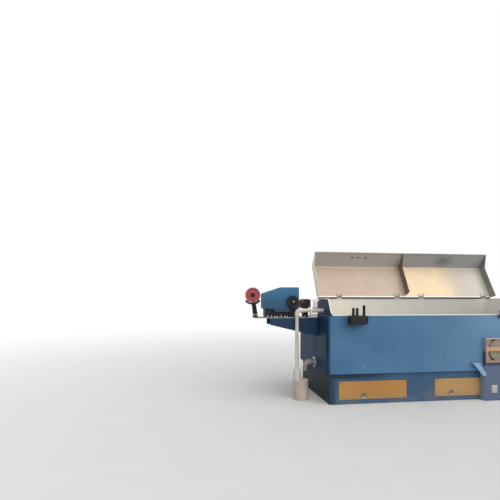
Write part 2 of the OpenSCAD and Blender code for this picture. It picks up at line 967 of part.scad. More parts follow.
// Outline of a stepped cone in radius and length, from its back to its front
function cone_outline() = concat(
    [[shaft_r + shaft_gap, 0]],
    [for (i = [0 : cone_steps - 1]) each [
        [cone_r + i * step_rise, i * step_w],
        [cone_r + i * step_rise, (i + 1) * step_w]
    ]],
    [
        [cone_big_r + cone_rim, cone_steps * step_w],
        [cone_big_r + cone_rim, cone_steps * step_w + cone_rim_t],
        [cone_big_r - cone_wall, cone_steps * step_w + cone_rim_t],
        [cone_big_r - cone_wall - step_rise, cone_steps * step_w + cone_rim_t - cone_hollow],
        [hub_r, cone_steps * step_w + cone_rim_t - cone_hollow],
        [hub_r, cone_steps * step_w + cone_rim_t],
        [shaft_r + shaft_gap, cone_steps * step_w + cone_rim_t]
    ]
);

// Stepped cone capstan with a dished, ribbed front
module cone(place) {
    front = cone_steps * step_w + cone_rim_t;
    rib_root = 2;
    rib_drop = 14;
    rib_len = cone_big_r - cone_wall - step_rise - hub_r + 2 * rib_root;
    color("gainsboro")
        translate([cone_places[place], cone_back_y, shaft_z])
            rotate([90, 0, 0]) {
                rotate_extrude()
                    polygon(cone_outline());
                for (k = [0 : cone_ribs - 1])
                    rotate([0, 0, 360 * k / cone_ribs])
                        translate([hub_r - rib_root, -cone_rib_t / 2, front - cone_hollow])
                            cube([rib_len, cone_rib_t, cone_hollow - rib_drop]);
            }
}

// Shafts with their seal housings on the back wall, and the nuts that hold the cones
module cone_shafts() {
    housing_t = 24;
    collar_r = 50;
    nut_t = 26;
    nut_r = 42;
    shaft_end = 10;
    seat = 0.3;
    color("silver")
        for (x = cone_places) {
            bar_y(x, tank_back_y - liner_t - housing_t, housing_t, shaft_z, seal_flange_r);
            bar_y(x, cone_back_y + seat, seal_len - seat, shaft_z, collar_r);
            bar_y(x, cone_front_y - nut_t - shaft_end, seal_len + cone_back_y - cone_front_y + nut_t, shaft_z,
                shaft_r);
            translate([x, cone_front_y - seat, shaft_z])
                rotate([90, 0, 0])
                    cylinder(h = nut_t, r = nut_r, $fn = 6);
        }
}

// Stands between the cones, each with a sloping bar of die seats
module die_stands() {
    low = die_centre(0);
    high = die_centre(cone_steps - 1);
    reach = step_w / 2;
    lift = step_rise / 2;
    color("slategray")
        for (x = die_places)
            difference() {
                union() {
                    translate([x - stand_foot_w / 2, high[0] - reach, floor_z])
                        cube([stand_foot_w, low[0] - high[0] + 2 * reach, stand_foot_t]);
                    along_x(x - stand_t / 2, stand_t)
                        polygon([
                            [high[0] + step_w, floor_z],
                            [low[0] - step_w, floor_z],
                            [low[0] - step_w, low[1] + step_rise - die_bar_h + lift],
                            [high[0] + step_w, high[1] - step_rise - die_bar_h + lift]
                        ]);
                    along_x(x - die_len / 2, die_len)
                        polygon([
                            [high[0] - reach, high[1] + lift - die_bar_h],
                            [low[0] + reach, low[1] - lift - die_bar_h],
                            [low[0] + reach, low[1] - lift + die_bar_h],
                            [high[0] - reach, high[1] + lift + die_bar_h]
                        ]);
                }
                for (i = [0 : cone_steps - 1])
                    bar_x(x - die_len, 2 * die_len, die_centre(i)[0], die_centre(i)[1], die_r + die_gap);
            }
}

// Place of a die beside the top of its step, in Y and Z
function die_centre(i) = [cone_back_y - (i + 0.5) * step_w, shaft_z + cone_r + i * step_rise];

// Round die cases in their seats
module dies() {
    color("goldenrod")
        for (x = die_places)
            for (i = [0 : cone_steps - 1])
                difference() {
                    bar_x(x - die_len / 2, die_len, die_centre(i)[0], die_centre(i)[1], die_r);
                    bar_x(x - die_len, 2 * die_len, die_centre(i)[0], die_centre(i)[1], die_hole_r);
                }
}

// Coolant pipe along the back wall with nozzles over the cones
module coolant_header() {
    clip_w = 30;
    clip_h = 16;
    color("silver") {
        bar_x(-lined_x + header_r, 2 * (lined_x - header_r), header_y, header_z, header_r);
        for (x = cone_places)
            for (k = [0 : nozzles - 1])
                translate([
                    x + (k - (nozzles - 1) / 2) * nozzle_pitch,
                    header_y,
                    header_z - header_r - nozzle_len,
                ])
                    cylinder(h = nozzle_len + header_r, r = nozzle_r);
        for (x = [-cone_spacing, 0, cone_spacing])
            translate([x - clip_w / 2, header_y, header_z - clip_h / 2])
                cube([clip_w, header_reach, clip_h]);
    }
}

// Shelf plate of the inlet arm
module inlet_shelf() {
    color("steelblue")
        translate([left_x - shelf_reach, shelf_y, shelf_z - shelf_t])
            cube([shelf_reach, shelf_d, shelf_t]);
}

// Tapered gussets under the shelf's front and back edges
module shelf_gussets() {
    under = shelf_z - shelf_t;
    inset = 2;
    color("steelblue")
        for (y = [shelf_y + inset, shelf_y + shelf_d - gusset_t - inset])
            along_y(y, gusset_t)
                polygon([
                    [left_x, under],
                    [left_x - gusset_reach, under],
                    [left_x - gusset_reach, under - gusset_end_h],
                    [left_x, under - gusset_h]
                ]);
}

// Blue entry guard
module entry_guard() {
    outline = [
        [left_x - guard_near, shelf_z + guard_low],
        [left_x - guard_near, shelf_z + guard_top_h],
        [left_x - guard_peak, shelf_z + guard_top_h],
        [left_x - guard_far, shelf_z + guard_end_h],
        [left_x - guard_far, shelf_z + guard_low_step],
        [left_x - guard_step, shelf_z + guard_low_step],
        [left_x - guard_step, shelf_z + guard_low]
    ];
    color("steelblue")
        along_y(guard_y, guard_d)
            polygon(soft_outline(outline, guard_r));
}

// Stepped black stand between the shelf and the guard, and the upright with the pulley's axle
module guard_stand() {
    margin = 15;
    upright_y = guard_y - upright_t;
    stub = wheel_side_gap + pulley_w + wheel_side_gap;
    cap_t = 8;
    color("dimgray") {
        along_y(guard_y + margin, guard_d - 2 * margin)
            polygon([
                [left_x - guard_far + 2 * margin, shelf_z],
                [left_x - guard_near - 2 * margin, shelf_z],
                [left_x - guard_near - 2 * margin, shelf_z + guard_low],
                [left_x - guard_step - guard_r, shelf_z + guard_low],
                [left_x - guard_step - guard_r, shelf_z + guard_low_step],
                [left_x - guard_far + 2 * margin, shelf_z + guard_low_step]
            ]);
        along_y(upright_y, upright_t) {
            translate([pulley_x - upright_w / 2, shelf_z])
                square([upright_w, pulley_rise]);
            translate([pulley_x, pulley_z])
                circle(upright_w / 2);
        }
        bar_y(pulley_x, upright_y - stub, stub, pulley_z, axle_r);
        bar_y(pulley_x, upright_y - stub - cap_t, cap_t, pulley_z, 2 * axle_r);
    }
}

// Black arm behind the guide wheel, with its axle, washer and curved keeper
module wheel_arm() {
    plate_y = guard_mid_y + wheel_w / 2 + wheel_side_gap;
    keeper_in = wheel_r + keeper_gap;
    foot_w = 70;
    foot_inset = 2;
    foot_x = left_x - shelf_reach + foot_inset;
    stub = wheel_w + 2 * wheel_side_gap;
    cap_t = 8;
    color("dimgray") {
        along_y(plate_y, arm_t) {
            polygon([
                [foot_x, shelf_z],
                [foot_x + foot_w, shelf_z],
                [wheel_x + arm_w / 2, wheel_z],
                [wheel_x - arm_w / 2, wheel_z]
            ]);
            translate([wheel_x, wheel_z])
                circle(arm_w / 2);
        }
        bar_y(wheel_x, plate_y - stub, stub + 1, wheel_z, axle_r);
        bar_y(wheel_x, plate_y - stub - cap_t, cap_t, wheel_z, 2 * axle_r);
        translate([wheel_x, plate_y + arm_t, wheel_z])
            rotate([90, 0, 0])
                rotate([0, 0, 270 - keeper_arc / 2])
                    rotate_extrude(angle = keeper_arc)
                        translate([keeper_in, 0])
                            square([keeper_t, arm_t + wheel_w + wheel_side_gap]);
    }
}

// Outline of a grooved wheel in radius and width
function wheel_outline(r, w, groove, bore, hub) = [
    [bore, -w / 2],
    [hub, -w / 2],
    [hub + web_flare, -w / 4],
    [r - groove - wheel_rim - web_flare, -w / 4],
    [r - groove - wheel_rim, -w / 2],
    [r, -w / 2],
    [r, -w / 2 + groove_edge],
    [r - groove, -groove_floor],
    [r - groove, groove_floor],
    [r, w / 2 - groove_edge],
    [r, w / 2],
    [r - groove - wheel_rim, w / 2],
    [r - groove - wheel_rim - web_flare, w / 4],
    [hub + web_flare, w / 4],
    [hub, w / 2],
    [bore, w / 2]
];

// Red grooved guide wheel
module guide_wheel() {
    color("indianred")
        translate([wheel_x, guard_mid_y, wheel_z])
            rotate([90, 0, 0])
                rotate_extrude()
                    polygon(wheel_outline(wheel_r, wheel_w, wheel_groove, axle_r + axle_gap, 2.4 * axle_r));
}

// Black grooved entry pulley
module entry_pulley() {
    color("dimgray")
        translate([pulley_x, pulley_y + pulley_w / 2, pulley_z])
            rotate([90, 0, 0])
                rotate_extrude()
                    polygon(wheel_outline(pulley_r, pulley_w, pulley_groove, axle_r + axle_gap, 2.4 * axle_r));
}

// Dark feed block on its foot
module feed_block() {
    x0 = left_x - feed_near - feed_w;
    z0 = shelf_z + feed_foot_h;
    foot_w = 75;
    color("dimgray") {
        along_y(guard_mid_y - feed_d / 2, feed_d)
            polygon(concat(
                [[x0, z0]],
                corner_arc([x0, z0], [x0, z0 + feed_h], [x0 + feed_w, z0 + feed_h], feed_r),
                corner_arc([x0, z0 + feed_h], [x0 + feed_w, z0 + feed_h], [x0 + feed_w, z0], feed_r),
                [[x0 + feed_w, z0]]
            ));
        translate([x0 + (feed_w - foot_w) / 2, guard_mid_y - foot_w / 2, shelf_z])
            cube([foot_w, foot_w, feed_foot_h]);
    }
}

// White pipe from the tank to the elbow, the riser, the reducer and the wide end piece
module pvc_pipe() {
    run = riser_far - elbow_r;
    socket_len = 36;
    tee_side_gap = 6;
    tee_len = 2 * (valve_far - tee_side_gap);
    color("white") {
        difference() {
            bar_x(riser_x + elbow_r, run + end_wall_t + liner_t + mouth_reach, pipe_y, pipe_z, pipe_r);
            bar_x(-lined_x - mouth_reach, 3 * mouth_reach, pipe_y, pipe_z, pipe_r - pipe_wall);
        }
        bar_x(riser_x + elbow_r, socket_len, pipe_y, pipe_z, socket_r);
        bar_x(valve_x - tee_len / 2, tee_len, pipe_y, pipe_z, socket_r);
        translate([valve_x, pipe_y, pipe_z])
            cylinder(h = valve_z - pipe_z, r = socket_r);
        translate([riser_x + elbow_r, pipe_y, pipe_z - elbow_r])
            rotate([90, 0, 0])
                rotate([0, 0, 90])
                    rotate_extrude(angle = 90)
                        translate([elbow_r, 0])
                            circle(socket_r);
        translate([riser_x, pipe_y, pipe_z - elbow_r - socket_len])
            cylinder(h = socket_len, r = socket_r);
        translate([riser_x, pipe_y, reducer_top - 1])
            cylinder(h = pipe_z - elbow_r - reducer_top + 1, r = pipe_r);
        translate([riser_x, pipe_y, reducer_top - socket_len])
            cylinder(h = socket_len, r1 = reducer_r, r2 = socket_r);
        translate([riser_x, pipe_y, pot_h - 1])
            cylinder(h = reducer_top - socket_len - pot_h + 1, r = reducer_r);
        translate([riser_x + pot_shift, pipe_y, 0])
            cylinder(h = pot_h, r = pot_r);
    }
}

// Valve on the tee, with its unions, waist and handle
module pvc_valve() {
    stem_r = 13;
    stem_h = 6;
    union_h = valve_h / 3;
    color("white")
        translate([valve_x, pipe_y, valve_z]) {
            cylinder(h = union_h, r = valve_r);
            cylinder(h = valve_h, r = valve_waist_r);
            translate([0, 0, valve_h - union_h / 2])
                cylinder(h = union_h / 2, r = valve_r);
            translate([0, 0, valve_h])
                cylinder(h = stem_h, r = stem_r);
            translate([-handle_len / 2, -stem_r, valve_h + stem_h])
                cube([handle_len, 2 * stem_r, handle_h]);
        }
}

// Pale block on the shelf with a clip under the pipe
module pipe_saddle() {
    block_w = 80;
    block_d = 60;
    block_h = 44;
    clip_w = 20;
    clip_d = 24;
    clip_shift = 60;
    arm_h = 14;
    arm_z = shelf_z + block_h - arm_h;
    clip_x = valve_x - clip_w / 2 - clip_shift;
    color("white")
        difference() {
            union() {
                translate([valve_x - block_w / 2, shelf_y, shelf_z])
                    cube([block_w, block_d, block_h]);
                translate([clip_x, pipe_y - pipe_r, arm_z])
                    cube([clip_w, pipe_r + block_d, arm_h]);
                translate([clip_x, shelf_y, shelf_z])
                    cube([clip_w + block_w / 2, clip_d, block_h]);
                translate([clip_x, pipe_y - pipe_r, arm_z])
                    cube([clip_w, 2 * pipe_r, pipe_z - arm_z]);
            }
            bar_x(valve_x - 2 * block_w, 4 * block_w, pipe_y, pipe_z, pipe_r + axle_gap);
        }
}

// Steel drain elbow with its flange on the left end wall
module drain_elbow() {
    y = front_y + drain_depth;
    z = base_height + drain_rise;
    bore_r = drain_r - drain_wall;
    flange_web = 4;
    color("silver") {
        difference() {
            union() {
                bar_x(left_x - drain_flange_t, drain_flange_t, y, z, drain_flange_r);
                bar_x(left_x - drain_neck, drain_neck - drain_flange_t, y, z, drain_r);
            }
            bar_x(left_x - drain_neck - 1, drain_neck + 1 - flange_web, y, z, bore_r);
        }
        translate([left_x - drain_neck, y, z - drain_bend])
            rotate([90, 0, 0])
                rotate([0, 0, 90])
                    rotate_extrude(angle = 90)
                        translate([drain_bend, 0])
                            difference() {
                                circle(drain_r);
                                circle(bore_r);
                            }
        translate([left_x - drain_neck - drain_bend, y, z - drain_bend - drain_tail])
            difference() {
                cylinder(h = drain_tail, r = drain_r);
                translate([0, 0, -1])
                    cylinder(h = drain_tail + 2, r = bore_r);
            }
    }
}

// Blue pedestal in front of the base, with the set-back saddle under the guard and the light side bracket
module outlet_pedestal() {
    x0 = outlet_x - pedestal_w / 2;
    top = frame_z + side_rise;
    low = top - side_h;
    color("steelblue") {
        translate([x0, frame_y, 0])
            cube([pedestal_w, pedestal_reach, pedestal_h]);
        translate([x0, front_y, 0])
            cube([pedestal_w, base_setback, base_height]);
        translate([x0 + saddle_inset, frame_y + saddle_inset, pedestal_h])
            cube([pedestal_w - 2 * saddle_inset, pedestal_reach - saddle_inset, saddle_h]);
        along_y(frame_y - side_t, side_t)
            polygon([
                [x0 - side_reach, top],
                [x0 - side_reach + side_w, top],
                [x0 + side_lap, low + side_w / 4],
                [x0 + side_lap, low],
                [x0 - side_w / 4, low]
            ]);
        translate([x0 - side_reach, frame_y, top - side_t])
            cube([side_w, pedestal_reach / 2, side_t]);
    }
}

// Orange guard round the finishing capstan, with two windows and a back sheet that the axle's boss passes
module capstan_guard() {
    x0 = outlet_x - frame_w / 2;
    low = frame_z + frame_low_bar;
    mid = frame_z + frame_mid_z;
    top = frame_z + frame_h - frame_top_bar;
    color("orange")
        difference() {
            translate([x0, frame_y, frame_z])
                cube([frame_w, pedestal_reach, frame_h]);
            translate([x0 + frame_t, frame_y + frame_t, frame_z + frame_t])
                cube([frame_w - 2 * frame_t, pedestal_reach - frame_t - frame_back_t, frame_h - 2 * frame_t]);
            bar_y(outlet_x, front_y - 2 * frame_back_t, 3 * frame_back_t, capstan_z, boss_r + 1);
            translate([x0 + frame_bar, frame_y - 1, low])
                cube([frame_w - 2 * frame_bar, frame_t + 2, mid - low]);
            translate([x0 + frame_bar, frame_y - 1, mid + frame_mid_bar])
                cube([frame_w - 2 * frame_bar, frame_t + 2, top - mid - frame_mid_bar]);
        }
}

// Fixed boss and axle of the finishing capstan
module capstan_axle() {
    boss_gap = 4;
    axle_end = 2;
    color("silver") {
        bar_y(outlet_x, front_y - capstan_gap + boss_gap, capstan_gap - boss_gap, capstan_z, boss_r);
        bar_y(outlet_x, capstan_y - axle_end, capstan_w + capstan_gap + axle_end, capstan_z, capstan_axle_r);
    }
}

// Grooved finishing capstan
module finishing_capstan() {
    color("darkseagreen")
        translate([outlet_x, capstan_y + capstan_w / 2, capstan_z])
            rotate([90, 0, 0])
                rotate_extrude()
                    polygon(wheel_outline(capstan_r, capstan_w, wheel_groove, capstan_axle_r + axle_gap,
                        2 * capstan_axle_r));
}

// Dark exit guide on the front lip: a plate with cheeks and a roller
module exit_guide() {
    plate_t = 8;
    margin = 4;
    x0 = outlet_x + exit_shift;
    top = lip_height + exit_rise;
    reach = exit_out + 2 * (exit_r + margin);
    color("darkolivegreen") {
        translate([x0, front_y - plate_t, wall_top - exit_drop])
            cube([exit_w, plate_t, exit_drop]);
        for (x = [x0, x0 + exit_w - plate_t])
            along_x(x, plate_t)
                polygon([
                    [front_y, wall_top],
                    [front_y, wall_top - exit_drop],
                    [front_y - reach, wall_top],
                    [front_y - reach, top],
                    [front_y - exit_out, top],
                    [front_y - exit_out, wall_top]
                ]);
        bar_x(x0, exit_w, front_y - exit_out - exit_r - margin, top - exit_r - margin, exit_r);
    }
}

base_frame();
base_doors();
front_wall();
end_walls();
ears();
tank_bed();
liner_back();
liner_front();
liner_ends();
lip_trim();
gearcase();
gearcase_cover();
bearing_caps();
belt_guard();
hinge_rail();
hinge_blocks();
hood_panel();
hood_ends();
hood_rib();
hood_leaves();
lip_bracket();
guide_pegs();
cone(0);  // cone_1
cone(1);  // cone_2
cone(2);  // cone_3
cone(3);  // cone_4
cone_shafts();
die_stands();
dies();
coolant_header();
inlet_shelf();
shelf_gussets();
entry_guard();
guard_stand();
wheel_arm();
guide_wheel();
entry_pulley();
feed_block();
pvc_pipe();
pvc_valve();
pipe_saddle();
drain_elbow();
outlet_pedestal();
capstan_guard();
capstan_axle();
finishing_capstan();
exit_guide();
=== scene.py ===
import math

import bmesh
import bpy
from mathutils import Matrix, Vector


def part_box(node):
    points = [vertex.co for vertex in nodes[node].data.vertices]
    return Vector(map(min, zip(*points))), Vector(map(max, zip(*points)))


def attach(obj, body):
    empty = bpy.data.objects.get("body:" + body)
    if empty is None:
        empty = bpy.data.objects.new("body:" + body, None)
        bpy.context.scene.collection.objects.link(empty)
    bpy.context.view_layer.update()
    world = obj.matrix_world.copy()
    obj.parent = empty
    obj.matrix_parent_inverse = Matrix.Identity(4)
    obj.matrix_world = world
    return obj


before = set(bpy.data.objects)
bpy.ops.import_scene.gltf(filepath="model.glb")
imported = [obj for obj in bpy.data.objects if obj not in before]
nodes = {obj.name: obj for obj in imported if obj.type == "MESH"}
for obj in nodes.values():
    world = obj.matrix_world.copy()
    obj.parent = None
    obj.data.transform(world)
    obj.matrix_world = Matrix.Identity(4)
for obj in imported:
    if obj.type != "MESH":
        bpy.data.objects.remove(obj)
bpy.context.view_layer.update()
scene = bpy.context.scene
scene.view_settings.view_transform = "Standard"


# The room: a pale floor, a soft sun from the right front, an even sky and a white surround.
# The floor keeps the machine's shadow and turns white far away, but only where it is looked at.
class Value:
    """A shader socket that takes part in Python arithmetic, one Math node for each operator."""

    def __init__(self, graph, socket):
        self.graph = graph
        self.socket = socket

    def math(self, operation, first, second):
        return self.graph.add("ShaderNodeMath", {"operation": operation}, {0: first, 1: second})

    def __add__(self, other):
        return self.math("ADD", self, other)

    def __radd__(self, other):
        return self.math("ADD", other, self)

    def __sub__(self, other):
        return self.math("SUBTRACT", self, other)

    def __rsub__(self, other):
        return self.math("SUBTRACT", other, self)

    def __neg__(self):
        return self.math("SUBTRACT", 0, self)

    def __mul__(self, other):
        return self.math("MULTIPLY", self, other)

    def __rmul__(self, other):
        return self.math("MULTIPLY", other, self)

    def most(self, other):
        return self.math("MAXIMUM", self, other)

    def under(self, limit):
        """1 below the limit, 0 from there on."""
        return self.math("LESS_THAN", self, limit)

    def ramp(self, low, high):
        """0 below low, 1 above high, smooth between."""
        settings = {"interpolation_type": "SMOOTHSTEP"}
        return self.graph.add("ShaderNodeMapRange", settings, {0: self, 1: low, 2: high})


class Graph:
    """A node tree, whose nodes are all added by add()."""

    def __init__(self, tree):
        self.tree = tree

    def add(self, kind, settings, inputs, output=0):
        """Any node: its type, its settings, and the values or links of its sockets."""
        node = self.tree.nodes.new(kind)
        for name, value in settings.items():
            setattr(node, name, value)
        for key, value in inputs.items():
            if isinstance(value, Value):
                self.tree.links.new(value.socket, node.inputs[key])
            else:
                node.inputs[key].default_value = value
        return Value(self, node.outputs[output])

    def looked_at(self):
        """1 for what the camera, a mirror finish or clear glass shows, 0 for what lights the machine."""
        rays = [self.add("ShaderNodeLightPath", {}, {}, name)
                for name in ("Is Camera Ray", "Is Glossy Ray", "Is Transmission Ray")]
        return rays[0].most(rays[1]).most(rays[2])

    def surface(self, output, share, first, second):
        """Shows the first shader where share is 0 and the second where it is 1."""
        mixed = self.add("ShaderNodeMixShader", {}, {0: share, 1: first, 2: second})
        self.tree.links.new(mixed.socket, self.tree.nodes[output].inputs["Surface"])


class Paint(Graph):
    """A material with one Principled shader, in the machine's own coordinates."""

    def __init__(self, name, **constants):
        self.material = bpy.data.materials.new(name)
        self.material.use_nodes = True
        super().__init__(self.material.node_tree)
        self.shader = self.tree.nodes["Principled BSDF"]
        for socket, value in constants.items():
            self.shader.inputs[socket.replace("_", " ")].default_value = value
        self.place = self.add("ShaderNodeTexCoord", {}, {}, "Object")

    def set(self, socket, value):
        self.tree.links.new(value.socket, self.shader.inputs[socket])

    def stretched(self, x, y, z):
        """Places for a noise that is drawn out along the axes with small numbers."""
        inputs = {0: self.place, 1: (x, y, z)}
        return self.add("ShaderNodeVectorMath", {"operation": "MULTIPLY"}, inputs)

    def near(self, place, reach, stretch=(1.0, 1.0, 1.0)):
        """1 at a place, 0 beyond its reach, which a stretch shortens along an axis."""
        middle = tuple(p * s for p, s in zip(place, stretch))
        inputs = {0: self.stretched(*stretch), 1: middle}
        distance = self.add("ShaderNodeVectorMath", {"operation": "DISTANCE"}, inputs, "Value")
        return 1 - distance.ramp(0.0, reach)

    def noise(self, scale, detail=3.0, where=None):
        inputs = {"Vector": where or self.place, "Scale": scale, "Detail": detail, "Roughness": 0.55}
        return self.add("ShaderNodeTexNoise", {}, inputs, "Fac")

    def mix(self, mask, first, second):
        """Colour first where the mask is 0, second where it is 1."""
        colours = {6: first, 7: second}
        inputs = {i: c if isinstance(c, Value) else (*c, 1.0) for i, c in colours.items()}
        return self.add("ShaderNodeMix", {"data_type": "RGBA"}, {0: mask, **inputs}, 2)


floor_reach = 60.0
white_from = 14.0
floor_corners = [(-floor_reach, -floor_reach, 0), (floor_reach, -floor_reach, 0),
                 (floor_reach, floor_reach, 0), (-floor_reach, floor_reach, 0)]
floor_mesh = bpy.data.meshes.new("studio_floor")
floor_mesh.from_pydata(floor_corners, [], [(0, 1, 2, 3)])
floor = bpy.data.objects.new("studio_floor", floor_mesh)
scene.collection.objects.link(floor)
pure_white = (1.0, 1.0, 1.0, 1.0)
floor_paint = Paint("floor_paint", Roughness=0.9)
grain = floor_paint.noise(3.0, 4.0)
floor_paint.set("Base Color", floor_paint.mix(grain, (0.60, 0.60, 0.60), (0.66, 0.66, 0.65)))
glow = floor_paint.add("ShaderNodeEmission", {}, {"Color": pure_white, "Strength": 1.0})
far = 1 - floor_paint.near((0.0, 0.0, 0.0), white_from)
floor_paint.surface("Material Output", far * floor_paint.looked_at(),
                    Value(floor_paint, floor_paint.shader.outputs[0]), glow)
floor_mesh.materials.append(floor_paint.material)

world = bpy.data.worlds.new("surround")
world.use_nodes = True
scene.world = world
sky = Graph(world.node_tree)
soft = sky.add("ShaderNodeBackground", {}, {"Color": (0.95, 0.975, 1.0, 1.0), "Strength": 0.5})
white = sky.add("ShaderNodeBackground", {}, {"Color": pure_white, "Strength": 1.0})
sky.surface("World Output", sky.looked_at(), soft, white)

sun = bpy.data.lights.new("soft_sun", "SUN")
sun.energy = 2.3
sun.angle = math.radians(90)
sun.color = (1.0, 0.985, 0.96)
sun_holder = bpy.data.objects.new("soft_sun", sun)
sun_way = Vector((-0.30, 0.62, -0.72))
sun_holder.rotation_euler = sun_way.to_track_quat("-Z", "Y").to_euler()
scene.collection.objects.link(sun_holder)


# The camera stands where the photograph was taken: 4.5 m in front of the tank's face, 1.6 m to the
# left of the body and 1.34 m high, turned a little to the right. The shift keeps its horizon.
body_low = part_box("end_walls")[0]
camera_to_left = 1.60
camera_to_front = 4.5
camera_height = 1.34
camera_turn = math.radians(-7.7)
camera_data = bpy.data.cameras.new("camera")
camera_data.lens = 26.64
camera_data.sensor_width = 36.0
camera_data.shift_y = 0.1
camera = bpy.data.objects.new("camera", camera_data)
camera.location = (body_low.x - camera_to_left, body_low.y - camera_to_front, camera_height)
camera.rotation_euler = (math.radians(90), 0, camera_turn)
scene.collection.objects.link(camera)
scene.camera = camera


# Tank body: flat front sheet between box-section end walls with rounded corners, all welded and
# brushed with mid-blue machine enamel. Its left-facing faces are painted dark as painted shade, its
# front is painted lighter to the right as painted light, and a painted shadow lies by the lip bracket.
class Finish(Paint):
    """A finish of the machine: two ground tones with coats over them, on softened edges."""

    def ground(self, mask, first, second):
        """The first tone, and the second where the mask is 1."""
        self.colour = self.mix(mask, first, second)
        self.set("Base Color", self.colour)

    def coat(self, mask, colour):
        """Covers what was laid before where the mask is 1."""
        self.ground(mask, self.colour, colour)

    def axis(self, name):
        return self.add("ShaderNodeSeparateXYZ", {}, {0: self.place}, name)

    def facing(self, name):
        """How far the surface faces along an axis of the machine, in any pose."""
        way = self.add("ShaderNodeTexCoord", {}, {}, "Normal")
        return self.add("ShaderNodeSeparateXYZ", {}, {0: way}, name)

    def rounded(self, radius):
        """Normal of edges that are rounded by the given radius."""
        return self.add("ShaderNodeBevel", {"samples": 4}, {"Radius": radius})

    def edge(self, radius):
        """1 on a sharp edge and 0 on flat ground, from how far the rounded normal leans."""
        flat = self.add("ShaderNodeNewGeometry", {}, {}, "Normal")
        inputs = {0: self.rounded(radius), 1: flat}
        dot = self.add("ShaderNodeVectorMath", {"operation": "DOT_PRODUCT"}, inputs, "Value")
        return (1 - dot).ramp(0.02, 0.2)

    def bump(self, height, depth, radius):
        """Relief of the given depth, on edges that are rounded by a radius."""
        inputs = {"Height": height, "Distance": depth, "Strength": 1.0, "Normal": self.rounded(radius)}
        self.set("Normal", self.add("ShaderNodeBump", {}, inputs))

    def chipped(self, bare):
        """Shows the bare metal where edges are knocked."""
        chips = self.edge(0.004) * self.noise(60.0).ramp(0.5, 0.62)
        self.coat(chips * 0.8, bare)


def enamel(name, main, faded, roughness=0.42):
    """Brushed machine enamel: clouds of two tones under patches of grime."""
    paint = Finish(name, Specular_IOR_Level=0.06)
    clouds = paint.noise(1.6, 5.0).ramp(0.35, 0.7)
    patches = paint.noise(5.0, 6.0).ramp(0.55, 0.8)
    grime = tuple(0.6 * channel + 0.008 for channel in main)
    paint.ground(clouds, main, faded)
    paint.coat(patches * 0.4, grime)
    paint.set("Roughness", paint.noise(11.0, 4.0) * 0.2 + (roughness - 0.1))
    paint.bump(paint.noise(140.0), depth=0.0002, radius=0.003)
    return paint


def dress(paint, *names):
    """Puts a finish on pieces of the machine."""
    for name in names:
        slots = nodes[name].data.materials
        slots.clear()
        slots.append(paint.material)


primer = (0.30, 0.31, 0.31)
painted_lit_blue = (0.122, 0.226, 0.360)
painted_lit_upper_blue = (0.164, 0.286, 0.442)
bracket_shadow_blue = (0.020, 0.034, 0.052)
dark_runs = (0.05, 0.105, 0.17)
rubbed_blue = (0.42, 0.47, 0.52)
shaded_left_blue = (0.017, 0.052, 0.114)
shaded_left_navy = (0.008, 0.025, 0.052)

body_paint = enamel("body_blue", main=(0.060, 0.146, 0.262), faded=(0.076, 0.176, 0.30))
along = body_paint.axis("X")
height = body_paint.axis("Z")
# Painted light: the front is painted lighter towards the right.
painted_light_right = along.ramp(-1.3, 1.6)
# Painted light: the upper right of the front is painted paler still.
painted_light_upper_right = along.ramp(0.1, 1.1) * height.ramp(0.3, 1.2)
bracket_low, bracket_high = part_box("lip_bracket")
# Painted shadow: a soft dark patch by the lip bracket, broken up by noise.
bracket_shadow_place = (bracket_low.x + 0.01, body_low.y, bracket_low.z + 0.02)
painted_bracket_shadow = body_paint.near(bracket_shadow_place, reach=0.17) * (body_paint.noise(9.0, 4.0) * 0.8 + 0.3)
streaks = body_paint.noise(7.0, 4.0, body_paint.stretched(1.0, 1.0, 0.05)).ramp(0.6, 0.8)
scuff_place = (-0.96, body_low.y, 0.482)
scuff = body_paint.near(scuff_place, reach=0.040, stretch=(1.0, 1.0, 8.0)).ramp(0.1, 0.5)
shade_mottle = body_paint.noise(3.0, 6.0).ramp(0.3, 0.7)
# Painted shade: faces turned to the left are painted dark, mottled between two dark tones.
painted_shade_left = (-body_paint.facing("X")).ramp(0.28, 0.85)
body_paint.coat(painted_light_right * 0.85, painted_lit_blue)
body_paint.coat(painted_light_upper_right * 0.8, painted_lit_upper_blue)
body_paint.coat(painted_bracket_shadow * 0.75, bracket_shadow_blue)
body_paint.coat(streaks * 0.25, dark_runs)
body_paint.coat(scuff * 0.6, rubbed_blue)
body_paint.coat(painted_shade_left, body_paint.mix(shade_mottle, shaded_left_blue, shaded_left_navy))
body_paint.chipped(primer)
dress(body_paint, "front_wall", "end_walls", "ears", "gearcase")


# Base frame: welded box of heavy plate that carries the tank, set back under its edge, in a darker
# blue of the same enamel as painted shade. Its foot is dusty. The left of its upper edge, its front
# left corner and its left end are painted dark as painted shade.
dust_grey = (0.17, 0.165, 0.155)
under_edge_shade = (0.014, 0.022, 0.034)
shaded_base_navy = (0.018, 0.032, 0.048)
shaded_base_grey = (0.028, 0.034, 0.036)

# Painted shade: the base's blue is darker than the tank's, for the shade under the tank's edge.
base_paint = enamel("base_blue", main=(0.048, 0.100, 0.178), faded=(0.062, 0.120, 0.20))
along = base_paint.axis("X")
height = base_paint.axis("Z")
dusty = (1 - height.ramp(0.0, 0.3)) * base_paint.noise(5.0, 5.0).ramp(0.3, 0.7)
# Painted shade: the left of the upper edge and the front left corner are painted near black.
shaded_upper_edge = height.ramp(body_low.z - 0.09, body_low.z - 0.05)
near_left = 1 - along.ramp(body_low.x + 0.4, body_low.x + 1.0)
shaded_left_corner = 1 - along.ramp(body_low.x + 0.07, body_low.x + 0.16)
shade_mottle = base_paint.noise(3.0, 6.0).ramp(0.3, 0.7)
